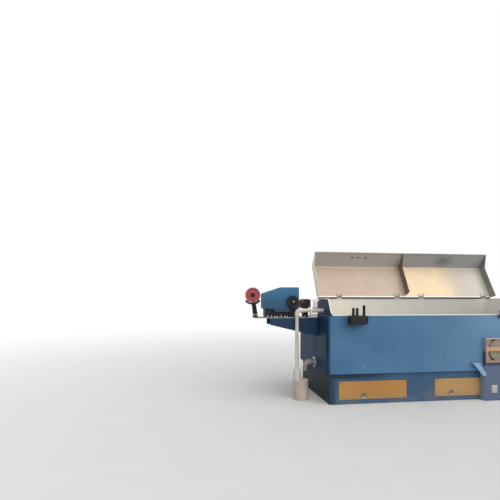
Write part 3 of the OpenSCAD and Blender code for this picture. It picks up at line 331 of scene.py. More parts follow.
# Painted shade: faces turned to the left are painted dark, mottled between two dark tones.
painted_shade_left = (-base_paint.facing("X")).ramp(0.12, 0.32)
base_paint.coat(dusty * 0.5, dust_grey)
base_paint.coat((shaded_upper_edge * near_left * 0.7).most(shaded_left_corner * 0.65), under_edge_shade)
base_paint.coat(painted_shade_left, base_paint.mix(shade_mottle, shaded_base_navy, shaded_base_grey))
base_paint.chipped(primer)
dress(base_paint, "base_frame")


# Base doors: flat panels of folded sheet in orange enamel, hung into the base frame. Each is held
# by four quarter-turn screws at its corners and has a round flush pull.
class Form:
    """A mesh under construction, in metres and in the machine's own frame."""

    def __init__(self):
        self.mesh = bmesh.new()

    def turned(self, place, way, profile, sides=20):
        """A body turned about the line from place along way, from points of (radius, distance)."""
        turn = Vector(way).to_track_quat("Z", "Y").to_matrix()
        angles = [math.tau * (i + 0.5) / sides for i in range(sides)]
        rings = []
        for radius, distance in profile:
            spokes = angles if radius else angles[:1]
            points = [Vector((radius * math.cos(a), radius * math.sin(a), distance)) for a in spokes]
            rings.append([self.mesh.verts.new(Vector(place) + turn @ point) for point in points])
        for first, second in zip(rings, rings[1:]):
            for i in range(sides):
                j = (i + 1) % sides
                near_side = [first[i % len(first)], first[j % len(first)]]
                far_side = [second[j % len(second)], second[i % len(second)]]
                self.mesh.faces.new(dict.fromkeys(near_side + far_side))

    def piece(self, name, paint, body):
        """Ends the mesh and makes it a piece that rides on a body."""
        bmesh.ops.recalc_face_normals(self.mesh, faces=self.mesh.faces)
        for face in self.mesh.faces:
            face.smooth = True
        data = bpy.data.meshes.new(name)
        self.mesh.to_mesh(data)
        self.mesh.free()
        data.set_sharp_from_angle(angle=math.radians(35))
        data.materials.append(paint.material)
        thing = bpy.data.objects.new(name, data)
        scene.collection.objects.link(thing)
        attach(thing, body)


def screw(form, place, way, radius):
    """Low round head with a dimple."""
    head = [(0, 0), (radius, 0), (radius, 0.25 * radius), (0.75 * radius, 0.6 * radius),
            (0.35 * radius, 0.68 * radius), (0.3 * radius, 0.4 * radius), (0, 0.4 * radius)]
    form.turned(place, way, head, sides=16)


def solids(name):
    """Boxes of a node's separate solids, from left to right."""
    mesh = bmesh.new()
    mesh.from_mesh(nodes[name].data)
    bmesh.ops.remove_doubles(mesh, verts=mesh.verts, dist=1e-5)
    waiting = set(mesh.verts)
    boxes = []
    while waiting:
        open_ends = [waiting.pop()]
        places = []
        while open_ends:
            vert = open_ends.pop()
            places.append(vert.co.copy())
            found = {edge.other_vert(vert) for edge in vert.link_edges} & waiting
            waiting -= found
            open_ends += found
        boxes.append((Vector(map(min, zip(*places))), Vector(map(max, zip(*places)))))
    mesh.free()
    return sorted(boxes, key=lambda box: (round(box[0].x, 3), box[0].y))


def zinc_paint(name, dark, light, rust=0.3):
    """Zinc-plated or plain bright steel with dull blotches and a little rust."""
    paint = Finish(name, Metallic=0.8)
    mottle = paint.noise(45.0, 4.0)
    rusty = paint.noise(8.0, 5.0).ramp(0.58, 0.75)
    paint.ground(mottle.ramp(0.35, 0.7), dark, light)
    paint.coat(rusty * rust, (0.22, 0.15, 0.09))
    paint.set("Roughness", mottle * 0.25 + 0.28)
    paint.bump(mottle, depth=0.0002, radius=0.001)
    return paint


dull_zinc = zinc_paint("dull_zinc", dark=(0.15, 0.15, 0.145), light=(0.24, 0.24, 0.23), rust=0.5)

door_paint = enamel("door_orange", main=(0.40, 0.205, 0.062), faded=(0.46, 0.245, 0.085), roughness=0.5)
greyer = door_paint.axis("X").ramp(-0.4, 0.4)
dusty = 1 - door_paint.axis("Z").ramp(0.05, 0.17)
door_paint.coat(greyer * 0.7, (0.43, 0.275, 0.135))
door_paint.coat(dusty * 0.4, (0.30, 0.22, 0.14))
door_paint.chipped((0.36, 0.30, 0.24))
dress(door_paint, "base_doors")

to_front = (0, -1, 0)
to_back = (0, 1, 0)
screw_inset = 0.022
door_screw_r = 0.008
pull_drop = 0.075
pull_profile = [(0, 0.0004), (0.026, 0.0004), (0.030, 0.003), (0.036, 0.003), (0.038, 0.0)]
door_screws = Form()
door_pulls = Form()
for low, high in solids("base_doors"):
    in_front = low.y < 0
    face = low.y if in_front else high.y
    out = to_front if in_front else to_back
    for x in (low.x + screw_inset, high.x - screw_inset):
        for z in (low.z + screw_inset, high.z - screw_inset):
            screw(door_screws, (x, face, z), out, door_screw_r)
    pull_share = 0.36 if in_front else 0.64
    pull_x = low.x + pull_share * (high.x - low.x)
    pull_z = (low.z + high.z) / 2 - pull_drop
    door_pulls.turned((pull_x, face, pull_z), out, pull_profile, sides=32)
door_screws.piece("door_screws", dull_zinc, "machine")
door_pulls.piece("door_pulls", dull_zinc, "machine")


# Gearcase: closed welded housing behind the tank, with a bolted cover and two inspection lids on
# top, bearing caps on the shafts' back ends and a sheet belt guard over the motor's pulleys.
def bolt(form, place, way, across=0.013):
    """Hex head with a chamfer on its washer; across is its width over the flats."""
    half = across / 2
    washer = 0.2 * half
    form.turned(place, way, [(0, 0), (1.7 * half, 0), (1.7 * half, washer), (0, washer)])
    corner = half / math.cos(math.pi / 6)
    top = washer + 1.2 * half
    head = [(0, 0), (corner, 0), (corner, top - 0.3 * half), (0.85 * corner, top), (0, top)]
    form.turned(place, way, head, sides=6)


def bolt_circle(form, middle, radius, way, start=0.0, across=0.013):
    """Six bolts on an upright circle that faces along way, the first one start sixths on."""
    for k in range(6):
        angle = math.tau * (k + start) / 6
        run = radius * math.cos(angle)
        rise = radius * math.sin(angle)
        place = (middle[0] + run * abs(way[1]), middle[1] + run * abs(way[0]), middle[2] + rise)
        bolt(form, place, way, across)


case_paint = enamel("case_blue", main=(0.07, 0.165, 0.285), faded=(0.09, 0.195, 0.32))
flat_top = case_paint.facing("Z").ramp(0.7, 0.95)
dusty = flat_top * case_paint.noise(2.5, 6.0).ramp(0.35, 0.7)
case_paint.coat(dusty * 0.5, (0.20, 0.22, 0.23))
case_paint.chipped(primer)
dress(case_paint, "gearcase_cover", "bearing_caps", "belt_guard", "hinge_rail")

up = (0, 0, 1)
lid_rise = 0.018
lid_half_x = 0.21
lid_bolt_across = 0.010
bolt_inset = 0.016
cap_rim = 0.015
steps_along = 14
steps_across = 4
zinc = zinc_paint("zinc_steel", dark=(0.36, 0.36, 0.35), light=(0.50, 0.50, 0.49))
case_bolts = Form()
cover_low, cover_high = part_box("gearcase_cover")
cover_length = cover_high.x - cover_low.x
cover_depth = cover_high.y - cover_low.y
cover_top = cover_high.z - lid_rise
cover_mid_y = (cover_low.y + cover_high.y) / 2
lid_half_y = cover_depth / 4
for i in range(steps_along + 1):
    x = cover_low.x + bolt_inset + (cover_length - 2 * bolt_inset) * i / steps_along
    for y in (cover_low.y + bolt_inset, cover_high.y - bolt_inset):
        bolt(case_bolts, (x, y, cover_top), up)
for i in range(1, steps_across):
    y = cover_low.y + cover_depth * i / steps_across
    for x in (cover_low.x + bolt_inset, cover_high.x - bolt_inset):
        bolt(case_bolts, (x, y, cover_top), up)
for side in (-1, 1):
    for i in (-1, 0, 1):
        for j in (-1, 1):
            x = side * cover_length / 4 + i * (lid_half_x - bolt_inset)
            y = cover_mid_y + j * (lid_half_y - bolt_inset)
            bolt(case_bolts, (x, y, cover_high.z), up, lid_bolt_across)
for low, high in solids("bearing_caps"):
    middle = (low + high) / 2
    bolt_circle(case_bolts, (middle.x, high.y, middle.z), (high.z - low.z) / 2 - cap_rim, to_back)
case_bolts.piece("case_bolts", zinc, "machine")

belt_screw_r = 0.008
belt_screw_inset = 0.02
belt_low, belt_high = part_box("belt_guard")
upper_r = (belt_high.x - belt_low.x) / 2
lower_r = 0.13
belt_screws = Form()
for centre_z, radius, angles in ((belt_high.z - upper_r, upper_r, (10, 50, 90, 130, 170)),
                                 (belt_low.z + lower_r, lower_r, (-150, -90, -30))):
    for angle in map(math.radians, angles):
        run = radius - belt_screw_inset
        place = (run * math.cos(angle), belt_high.y, centre_z + run * math.sin(angle))
        screw(belt_screws, place, to_back, belt_screw_r)
belt_screws.piece("belt_guard_screws", zinc, "machine")


# Tank lining: thin sheets in cream paint, welded in behind the tank's walls. Spray and lubricant
# have darkened it towards the floor. It is painted darker to the right and under the hinge line as
# painted shade, and paler at the right corner and on its end faces as painted light.
lining = Finish("cream_lining", Roughness=0.5, Specular_IOR_Level=0.3)
along = lining.axis("X")
height = lining.axis("Z")
blotches = lining.noise(2.5, 4.0).ramp(0.3, 0.7)
runs = lining.noise(9.0, 5.0, lining.stretched(1.0, 1.0, 0.06)).ramp(0.5, 0.75)
painted_shade_under_hinges = height.ramp(1.30, 1.37)
painted_light_right_corner = along.ramp(1.0, 1.4)
painted_light_end_faces = (-lining.facing("X")).ramp(0.6, 0.9)
film = (1 - height.ramp(0.75, 1.12)) * lining.noise(6.0, 5.0).ramp(0.2, 0.7)
# Painted shade: the cream is painted darker from left to right.
lining.ground(along.ramp(-1.5, 0.9), (0.84, 0.80, 0.69), (0.52, 0.51, 0.455))
lining.coat(blotches * 0.25, (0.56, 0.52, 0.45))
lining.coat(runs * 0.2, (0.42, 0.39, 0.32))
# Painted shade under the hinge line, and painted light at the right corner and on the left-facing end faces.
lining.coat(painted_shade_under_hinges * 0.3, (0.30, 0.285, 0.27))
lining.coat(painted_light_right_corner * 0.5, (0.80, 0.785, 0.71))
lining.coat(painted_light_end_faces, (0.94, 0.92, 0.85))
lining.coat(film * 0.6, (0.26, 0.25, 0.19))
lining.bump(lining.noise(90.0), depth=0.0002, radius=0.002)
dress(lining, "tank_bed", "liner_back", "liner_front", "liner_ends")


# Lip trim: pale rolled strip that caps the tank's lip and follows the ears' edges, pressed on over
# the lining's upper edge. It is chipped where lifting hooks and the hood have knocked it.
trim = Finish("trim_paint", Roughness=0.35)
trim.ground(trim.noise(6.0, 4.0), (0.68, 0.68, 0.62), (0.78, 0.77, 0.70))
trim.chipped((0.4, 0.38, 0.34))
trim.bump(trim.noise(90.0), depth=0.0002, radius=0.003)
dress(trim, "lip_trim")


# Hinge line: four machined hinges with plain pins, screwed to the rail on the back wall, and a
# black rubber bulb seal clipped along the lining's top edge between them.
def extrude(form, outline, from_x, to_x):
    """An outline of Y and Z, drawn out along X."""
    first = [form.mesh.verts.new((from_x, y, z)) for y, z in outline]
    last = [form.mesh.verts.new((to_x, y, z)) for y, z in outline]
    form.mesh.faces.new(reversed(first))
    form.mesh.faces.new(last)
    for i in range(len(outline)):
        j = (i + 1) % len(outline)
        form.mesh.faces.new((first[i], first[j], last[j], last[i]))


dress(dull_zinc, "hinge_blocks", "hood_leaves")

foot_t = 0.005
foot_screw_r = 0.0055
foot_screw_inset = 0.012
foot_screw_spread = 0.022
hinges = solids("hinge_blocks")
foot_top = hinges[0][0].z + foot_t
hinge_screws = Form()
for low, high in hinges:
    middle = (low.x + high.x) / 2
    for x in (middle - foot_screw_spread, middle + foot_screw_spread):
        screw(hinge_screws, (x, high.y - foot_screw_inset, foot_top), up, foot_screw_r)
hinge_screws.piece("hinge_screws", dull_zinc, "machine")

rubber = Finish("black_rubber", Roughness=0.7)
rubber.ground(rubber.noise(30.0), (0.027, 0.025, 0.024), (0.046, 0.043, 0.040))
rubber.bump(rubber.noise(200.0), depth=0.0002, radius=0.001)
liner_low, liner_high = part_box("liner_back")
bulb_r = 0.0045
bulb_y = liner_low.y - 0.007
bulb_z = liner_high.z + 0.0055
clip_z = liner_high.z - 0.010
inner_clip = [(liner_low.y, clip_z), (liner_low.y, liner_high.z), (liner_low.y - 0.0025, bulb_z + 0.0015)]
outer_clip = [(liner_low.y - 0.003, clip_z)]
bulb = [(bulb_y + bulb_r * math.cos(a), bulb_z + bulb_r * math.sin(a))
        for a in (math.radians(20 + 20 * k) for k in range(15))]
hinge_gap = 0.002
hinge_sides = [x for low, high in hinges for x in (low.x - hinge_gap, high.x + hinge_gap)]
stops = [liner_low.x] + hinge_sides + [liner_high.x]
seal = Form()
for from_x, to_x in zip(stops[::2], stops[1::2]):
    extrude(seal, inner_clip + bulb + outer_clip, from_x, to_x)
seal.piece("hinge_line_seal", rubber, "machine")


# Hood: folded stainless sheet with welded end plates and a middle rib, standing open. Its inside is
# dulled by a warm film of spray and stained in spots. A painted warm reflection lies over the right
# bay, a painted glare near the right end and a painted shade patch on the flange, with painted
# highlights along the top edge, below the fold and along the hem. The end plates are painted pale on
# the left and dark inside on the right as painted light and shade. Screws hold the hinge straps at
# its foot.
def block(form, low, high, soft_edge, turn=None):
    """A block between two corners, with softened edges, turned by a matrix where one is given."""
    cube = bmesh.ops.create_cube(form.mesh, size=1.0)
    size = Vector(high) - Vector(low)
    middle = (Vector(high) + Vector(low)) / 2
    for vert in cube["verts"]:
        vert.co = middle + Vector(c * s for c, s in zip(vert.co, size))
    edges = {edge for vert in cube["verts"] for edge in vert.link_edges}
    made = bmesh.ops.bevel(form.mesh, geom=list(edges), offset=soft_edge, segments=2, affect="EDGES",
                           profile=0.5)
    if turn:
        for vert in {vert for face in made["faces"] for vert in face.verts}:
            vert.co = turn @ vert.co


hood_lean = math.radians(27)
flange_lean = math.radians(64) - hood_lean
panel_width = 0.515
hood_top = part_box("hood_panel")[1].z
hood_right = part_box("hood_ends")[1].x
hinge_y = (hinges[0][0].y + hinges[0][1].y) / 2 - 0.0125
hinge_z = hinges[0][1].z - 0.010
fold_z = hinge_z + panel_width * math.cos(hood_lean)

steel = Finish("hood_stainless", Metallic=0.3, Specular_IOR_Level=0.3)
along = steel.axis("X")
height = steel.axis("Z")
lines = steel.noise(3.0, 6.0, steel.stretched(1.0, 60.0, 60.0))
smear = steel.noise(2.2, 5.0, steel.stretched(1.0, 1.0, 0.5))
left_bay = steel.mix(smear.ramp(0.35, 0.7), (0.44, 0.345, 0.27), (0.485, 0.385, 0.31))
for stain_x, stain_z, reach in ((-0.80, 1.72, 0.05), (-0.58, 1.60, 0.07), (-0.25, 1.66, 0.06)):
    stain_y = hinge_y + (stain_z - hinge_z) * math.tan(hood_lean)
    stain = steel.near((stain_x, stain_y, stain_z), reach) * smear.ramp(0.3, 0.6)
    left_bay = steel.mix(stain * 0.5, left_bay, (0.33, 0.265, 0.21))
# Painted reflection: a warm glow over the right bay that fades towards the right.
painted_warm_reflection = steel.mix(smear.ramp(0.4, 0.6), (0.74, 0.57, 0.375), (0.66, 0.525, 0.36))
reflection_falloff = (along + (smear - 0.5) * 0.8).ramp(0.4, 1.0)
right_bay = steel.mix(reflection_falloff, painted_warm_reflection, (0.475, 0.425, 0.355))
# Painted highlight: a pale glare towards the right end.
right_bay = steel.mix(along.ramp(0.9, 1.3), right_bay, (0.54, 0.515, 0.465))
shade_place = (0.70, 0.12, fold_z + 0.09)
shade = steel.near(shade_place, reach=0.24, stretch=(1.0, 1.0, 2.0))
# Painted highlight: a pale line along the top edge.
top_edge_highlight = height.ramp(hood_top - 0.005, hood_top - 0.003)
flange = steel.mix(smear.ramp(0.3, 0.7), (0.52, 0.475, 0.43), (0.58, 0.54, 0.49))
flange = steel.mix(along.ramp(-0.2, 0.2) * 0.9, flange, (0.40, 0.405, 0.405))
flange = steel.mix(shade * 0.8, flange, (0.20, 0.205, 0.215))
flange = steel.mix(top_edge_highlight, flange, (0.80, 0.77, 0.70))
back = steel.mix(smear.ramp(0.3, 0.7), (0.46, 0.43, 0.38), (0.53, 0.50, 0.45))
above_fold = height.ramp(fold_z - 0.004, fold_z + 0.004)
# Painted highlights: a pale band below the fold and a pale strip along the hem.
crease_highlight = height.ramp(fold_z - 0.05, fold_z - 0.012) * (1 - height.ramp(fold_z - 0.006, fold_z - 0.001))
hem_highlight = 1 - height.ramp(hinge_z + 0.006, hinge_z + 0.012)
outside = steel.facing("Y").ramp(0.1, 0.4)
steel.ground(along.ramp(-0.02, 0.02), left_bay, right_bay)
steel.coat(above_fold, flange)
steel.coat(crease_highlight * 0.4, (0.62, 0.57, 0.48))
steel.coat(hem_highlight, (0.72, 0.68, 0.61))
steel.coat(outside, back)
steel.coat(lines.ramp(0.4, 0.7) * 0.12, (0.32, 0.29, 0.26))
steel.set("Roughness", smear * 0.14 + lines * 0.1 + 0.40)
steel.bump(lines, depth=0.0002, radius=0.0015)
dress(steel, "hood_panel")

plates = Finish("hood_plates", Metallic=0.3, Specular_IOR_Level=0.3)
along = plates.axis("X")
smear = plates.noise(4.0, 5.0)
outer_face = along.ramp(hood_right - 0.0035, hood_right - 0.0005)
# Painted light and shade: the left end plate and outer faces are painted pale, the inside of the right end
# plate dark.
lit_plate = plates.mix(smear.ramp(0.3, 0.7), (0.66, 0.62, 0.55), (0.74, 0.70, 0.64))
shaded_plate = plates.mix(smear.ramp(0.3, 0.7), (0.22, 0.22, 0.19), (0.31, 0.31, 0.27))
rib = plates.mix(smear.ramp(0.3, 0.7), (0.17, 0.135, 0.105), (0.26, 0.21, 0.165))
plates.ground(along.ramp(0.6, 0.7), rib, plates.mix(outer_face, shaded_plate, lit_plate))
plates.coat(1 - along.ramp(-0.7, -0.6), lit_plate)
# Painted highlight: edges are painted pale.
plates.coat(plates.edge(0.002), (0.6, 0.57, 0.5))
plates.set("Roughness", smear * 0.2 + 0.36)
plates.bump(plates.noise(120.0), depth=0.0002, radius=0.001)
dress(plates, "hood_ends", "hood_rib")

up_panel = Vector((0, math.sin(hood_lean), math.cos(hood_lean)))
off_panel = Vector((0, -math.cos(hood_lean), math.sin(hood_lean)))
hinge_line = Vector((0, hinge_y, hinge_z))
panel_axes = Matrix((Vector((1, 0, 0)), off_panel, up_panel)).transposed()
on_panel = Matrix.Translation(hinge_line) @ panel_axes.to_4x4()
strap_t = 0.0025
strap_half = 0.052
strap_foot = 0.020
strap_head = 0.046
strap_screw_spread = 0.034
strap_screw_across = 0.011
straps = Form()
strap_screws = Form()
for low, high in hinges:
    middle = (low.x + high.x) / 2
    strap_low = (middle - strap_half, 0.0, strap_foot)
    strap_high = (middle + strap_half, strap_t, strap_head)
    block(straps, strap_low, strap_high, soft_edge=0.0008, turn=on_panel)
    for x in (middle - strap_screw_spread, middle + strap_screw_spread):
        screw_place = on_panel @ Vector((x, strap_t, (strap_foot + strap_head) / 2))
        bolt(strap_screws, screw_place, off_panel, strap_screw_across)
straps.piece("hinge_straps", steel, "hood")
strap_screws.piece("hinge_strap_screws", dull_zinc, "hood")

grommet_rise = 0.155
grommet_profile = [(0, 0.0004), (0.007, 0.0004), (0.008, 0.0020), (0.013, 0.0020), (0.015, 0.0)]
up_flange = Vector((0, -math.sin(flange_lean), math.cos(flange_lean)))
off_flange = Vector((0, -math.cos(flange_lean), -math.sin(flange_lean)))
fold = hinge_line + panel_width * up_panel
grommets = Form()
for x in (-0.788, -0.694, -0.574):
    grommet_place = fold + grommet_rise * up_flange + Vector((x, 0, 0))
    grommets.turned(grommet_place, off_flange, grommet_profile, sides=24)
grommets.piece("flange_grommets", rubber, "hood")


# Lip bracket: block of steel plate with rounded lower corners, screwed to the front wall. Three
# steel pegs with collars stand on it. All in worn black paint.
black = Finish("black_paint", Specular_IOR_Level=0.12)
black.ground(black.noise(12.0, 4.0).ramp(0.3, 0.7), (0.012, 0.013, 0.015), (0.028, 0.029, 0.031))
black.chipped((0.11, 0.105, 0.10))
black.set("Roughness", black.noise(20.0) * 0.25 + 0.35)
black.bump(black.noise(120.0), depth=0.0002, radius=0.002)
dress(black, "lip_bracket", "guide_pegs")

bracket_screw_r = 0.009
bracket_screw_inset = 0.045
bracket_screw_drop = 0.065
peg_bolt_across = 0.012
bracket_bolts = Form()
for x in (bracket_low.x + bracket_screw_inset, bracket_high.x - bracket_screw_inset):
    screw_place = (x, bracket_low.y, bracket_high.z - bracket_screw_drop)
    screw(bracket_bolts, screw_place, to_front, bracket_screw_r)
for low, high in solids("guide_pegs"):
    middle = (low + high) / 2
    bolt(bracket_bolts, (middle.x, middle.y, high.z), up, peg_bolt_across)
bracket_bolts.piece("bracket_bolts", black, "machine")


# Cone capstans: cast bodies with coated and ground steps, bright where the wire runs, each held on
# its shaft by a nut. Seal housings with screwed flanges pass the shafts through the back wall.
cone_names = ("cone_1", "cone_2", "cone_3", "cone_4")
cone_steel = Finish("cone_steel", Metallic=1.0)
rings = cone_steel.noise(4.0, 4.0, cone_steel.stretched(1.0, 90.0, 1.0))
dish = cone_steel.facing("Y").under(-0.8)
cone_steel.ground(rings.ramp(0.35, 0.65), (0.50, 0.50, 0.49), (0.68, 0.67, 0.65))
cone_steel.coat(dish * 0.6, (0.33, 0.33, 0.32))
cone_steel.set("Roughness", rings * 0.2 + dish * 0.2 + 0.14)
cone_steel.bump(rings, depth=0.0002, radius=0.001)
dress(cone_steel, *cone_names)
dress(zinc, "cone_shafts")

seal_flange_t = 0.024
seal_circle_r = 0.067
seal_bolt_across = 0.011
shaft_z = sum(corner.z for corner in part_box("cone_1")) / 2
flange_bolts = Form()
for name in cone_names:
    low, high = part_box(name)
    flange_middle = ((low.x + high.x) / 2, liner_low.y - seal_flange_t, shaft_z)
    bolt_circle(flange_bolts, flange_middle, seal_circle_r, to_front, 0.5, seal_bolt_across)
flange_bolts.piece("seal_flange_bolts", zinc, "machine")


# Coolant header: galvanised pipe along the back wall with short nozzles over the cones, held to the
# wall by three flat clips. It floods the cones and the dies while the wire runs.
dress(zinc, "coolant_header")


# Die stands: cast iron columns screwed to the tank's floor, each with a sloping row of seats for
# the round brass-coloured die cases, next to the steps that pull the wire through them.
iron = Finish("cast_grey", Metallic=0.3, Roughness=0.6)
iron.ground(iron.noise(20.0, 4.0), (0.11, 0.13, 0.12), (0.19, 0.21, 0.19))
iron.bump(iron.noise(160.0), depth=0.0006, radius=0.002)
dress(iron, "die_stands")

brass = Finish("die_brass", Metallic=1.0, Roughness=0.3)
brass.ground(brass.noise(60.0), (0.48, 0.35, 0.14), (0.62, 0.47, 0.22))
brass.bump(brass.noise(100.0), depth=0.0001, radius=0.001)
dress(brass, "dies")

stand_foot_t = 0.012
stand_inset_x = 0.016
stand_inset_y = 0.03
tank_floor_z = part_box("liner_front")[0].z
stand_bolts = Form()
for low, high in solids("die_stands"):
    for x in (low.x + stand_inset_x, high.x - stand_inset_x):
        for y in (low.y + stand_inset_y, high.y - stand_inset_y):
            bolt(stand_bolts, (x, y, tank_floor_z + stand_foot_t), up)
stand_bolts.piece("stand_bolts", zinc, "machine")


# Inlet shelf: steel plate with gussets under its edges, bolted to the end wall. Studs, nuts and
# small wire rollers stand in a row along its front edge.
# Painted shade: the gussets are painted a much darker blue than the tank, for the shade under the shelf.
gusset_paint = enamel("arm_blue", main=(0.019, 0.041, 0.083), faded=(0.026, 0.056, 0.105))
gusset_paint.chipped((0.16, 0.17, 0.18))
dress(gusset_paint, "shelf_gussets")

shelf_paint = Finish("shelf_steel", Metallic=0.2)
worn = shelf_paint.noise(25.0, 5.0).ramp(0.35, 0.6)
# Painted shade: the shelf's underside is painted near black.
shaded_underside = 1 - shelf_paint.facing("Z").ramp(-0.9, -0.5)
shelf_paint.ground(worn, (0.10, 0.105, 0.12), (0.27, 0.27, 0.285))
shelf_paint.coat(shaded_underside, (0.035, 0.042, 0.055))
shelf_paint.chipped((0.42, 0.42, 0.43))
shelf_paint.set("Roughness", worn * 0.1 + 0.4)
dress(shelf_paint, "inlet_shelf")

# Distances of the studs and of the rollers from the body's left face
stud_distances = (0.749, 0.595, 0.560, 0.455, 0.422, 0.247, 0.215, 0.175, 0.115)
roller_distances = (0.695, 0.639, 0.505)
stud_inset = 0.014
stud_nut_across = 0.017
stud_end = [(0, 0.010), (0.005, 0.010), (0.005, 0.018), (0.004, 0.020), (0, 0.020)]
roller_profile = [(0, 0), (0.006, 0), (0.006, 0.003), (0.013, 0.003), (0.013, 0.006), (0.009, 0.008),
                  (0.009, 0.015), (0.013, 0.017), (0.013, 0.020), (0.005, 0.020), (0.005, 0.024), (0, 0.024)]
shelf_low, shelf_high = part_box("inlet_shelf")
stud_y = shelf_low.y + stud_inset
shelf_studs = Form()
for distance in stud_distances:
    stud_place = (body_low.x - distance, stud_y, shelf_high.z)
    bolt(shelf_studs, stud_place, up, stud_nut_across)
    shelf_studs.turned(stud_place, up, stud_end, sides=12)
shelf_rollers = Form()
for distance in roller_distances:
    shelf_rollers.turned((body_low.x - distance, stud_y, shelf_high.z), up, roller_profile, sides=24)
shelf_studs.piece("shelf_studs", zinc, "machine")
shelf_rollers.piece("shelf_rollers", zinc, "machine")


# Entry guard: blue sheet housing over the straightening rollers, on a stepped black stand. A black
# upright in front of it carries the grooved entry pulley, held by a dull steel nut.
pulley_low, pulley_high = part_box("entry_pulley")
pulley_mid = (pulley_low + pulley_high) / 2
guard_low, guard_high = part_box("entry_guard")
# Painted shade: the guard's blue is darker than the tank's, for the lesser light on it.
guard_paint = enamel("guard_blue", main=(0.036, 0.090, 0.165), faded=(0.052, 0.125, 0.215))
height = guard_paint.axis("Z")
upper = height.ramp(guard_high.z - 0.22, guard_high.z)
lower = 1 - height.ramp(guard_low.z, guard_low.z + 0.12)
# Painted shadow: a dark patch around the entry pulley, broken up by noise.
painted_pulley_shadow = guard_paint.near(pulley_mid, reach=0.15) * (guard_paint.noise(12.0, 4.0) * 0.6 + 0.1)
guard_paint.coat(upper, (0.056, 0.172, 0.305))
guard_paint.coat(lower * 0.5, (0.028, 0.042, 0.085))
guard_paint.coat(painted_pulley_shadow, (0.020, 0.040, 0.058))
guard_paint.coat(guard_paint.edge(0.006) * 0.8, (0.035, 0.06, 0.06))
guard_paint.chipped((0.2, 0.21, 0.21))
dress(guard_paint, "entry_guard")
dress(black, "guard_stand", "entry_pulley")

pulley_nut_across = 0.018
pulley_nut = Form()
upright_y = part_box("guard_stand")[0].y
bolt(pulley_nut, (pulley_mid.x, upright_y, pulley_mid.z), to_front, pulley_nut_across)
pulley_nut.piece("pulley_nut", dull_zinc, "machine")

guard_screw_r = 0.006
left_row = guard_low.x + 0.03
right_row = guard_high.x - 0.03
top_row = guard_high.z - 0.03
guard_screw_places = ((left_row, guard_high.z - 0.12), (left_row, guard_low.z + 0.07), (right_row, top_row),
                      (guard_high.x - 0.25, top_row), (right_row, guard_low.z + 0.03))
guard_screws = Form()
for x, z in guard_screw_places:
    screw(guard_screws, (x, guard_low.y, z), to_front, guard_screw_r)
guard_screws.piece("entry_guard_screws", dull_zinc, "machine")


# Guide wheel: grooved casting in red enamel on a black arm of steel plate, with a curved keeper
# below it. The wire has rubbed its edges bare and oil has blackened the hub.
wheel_low, wheel_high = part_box("guide_wheel")
wheel_mid = (wheel_low + wheel_high) / 2
red = enamel("red_enamel", main=(0.335, 0.068, 0.076), faded=(0.39, 0.094, 0.100))
oily_hub = red.near(wheel_mid, reach=0.062).ramp(0.1, 0.75)
spots = red.noise(26.0, 4.0).ramp(0.5, 0.7)
red.coat(oily_hub, (0.10, 0.02, 0.025))
red.coat(spots * 0.35, (0.30, 0.05, 0.06))
red.chipped((0.50, 0.22, 0.22))
dress(red, "guide_wheel")
dress(black, "wheel_arm")

arm_bolt_rise = 0.03
arm_bolt_spread = 0.02
arm_bolt_across = 0.014
arm_foot_x = shelf_low.x + 0.037
arm_face_y = wheel_high.y + 0.006
arm_bolts = Form()
for x in (arm_foot_x - arm_bolt_spread, arm_foot_x + arm_bolt_spread):
    bolt(arm_bolts, (x, arm_face_y, shelf_high.z + arm_bolt_rise), to_front, arm_bolt_across)
arm_bolts.piece("arm_bolts", zinc, "machine")
wheel_bolt_across = 0.022
wheel_bolt = Form()
bolt(wheel_bolt, (wheel_mid.x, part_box("wheel_arm")[0].y, wheel_mid.z), to_front, wheel_bolt_across)
wheel_bolt.piece("wheel_bolt", black, "machine")


# Feed block: cast block in dark red-brown paint on a foot, where the wire enters the tank's port.
# Its rounded shoulders are painted pale as a painted highlight, and two hex bolts close its face.
block_paint = enamel("feed_maroon", main=(0.035, 0.018, 0.020), faded=(0.055, 0.026, 0.028))
facing_up = block_paint.facing("Z")
# Painted highlight: the rounded shoulders are painted pale.
shoulder_highlight = facing_up.ramp(0.15, 0.6) * (1 - facing_up.ramp(0.8, 0.97))
block_paint.coat(shoulder_highlight, (0.17, 0.15, 0.15))
block_paint.chipped((0.34, 0.33, 0.32))
dress(block_paint, "feed_block")

block_bolt_inset = 0.020
block_bolt_across = 0.014
block_low, block_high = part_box("feed_block")
block_bolts = Form()
for x, z in ((block_low.x + block_bolt_inset, block_high.z - 0.030),
             (block_high.x - block_bolt_inset, block_high.z - 0.100)):
    bolt(block_bolts, (x, block_low.y, z), to_front, block_bolt_across)
block_bolts.piece("feed_block_bolts", dull_zinc, "machine")


# Return pipe: white plastic pipe with cemented sockets, tee and valve, gone creamy and splashed,
# clipped to a pale block on the shelf. Its wide end piece on the floor is grey with dirt.
plastic = Finish("white_plastic", Roughness=0.45)
creamy = plastic.noise(7.0, 4.0).ramp(0.3, 0.7)
splashes = plastic.noise(18.0, 5.0).ramp(0.58, 0.75)
end_piece = 1 - plastic.axis("Z").ramp(0.24, 0.28)
stained = plastic.mix(plastic.noise(9.0, 5.0).ramp(0.3, 0.7), (0.52, 0.43, 0.35), (0.39, 0.33, 0.27))
plastic.ground(creamy, (0.50, 0.445, 0.40), (0.60, 0.55, 0.50))
plastic.coat(splashes * 0.5, (0.34, 0.29, 0.23))
plastic.coat(end_piece, stained)
plastic.bump(plastic.noise(60.0), depth=0.0002, radius=0.0015)
dress(plastic, "pvc_pipe")

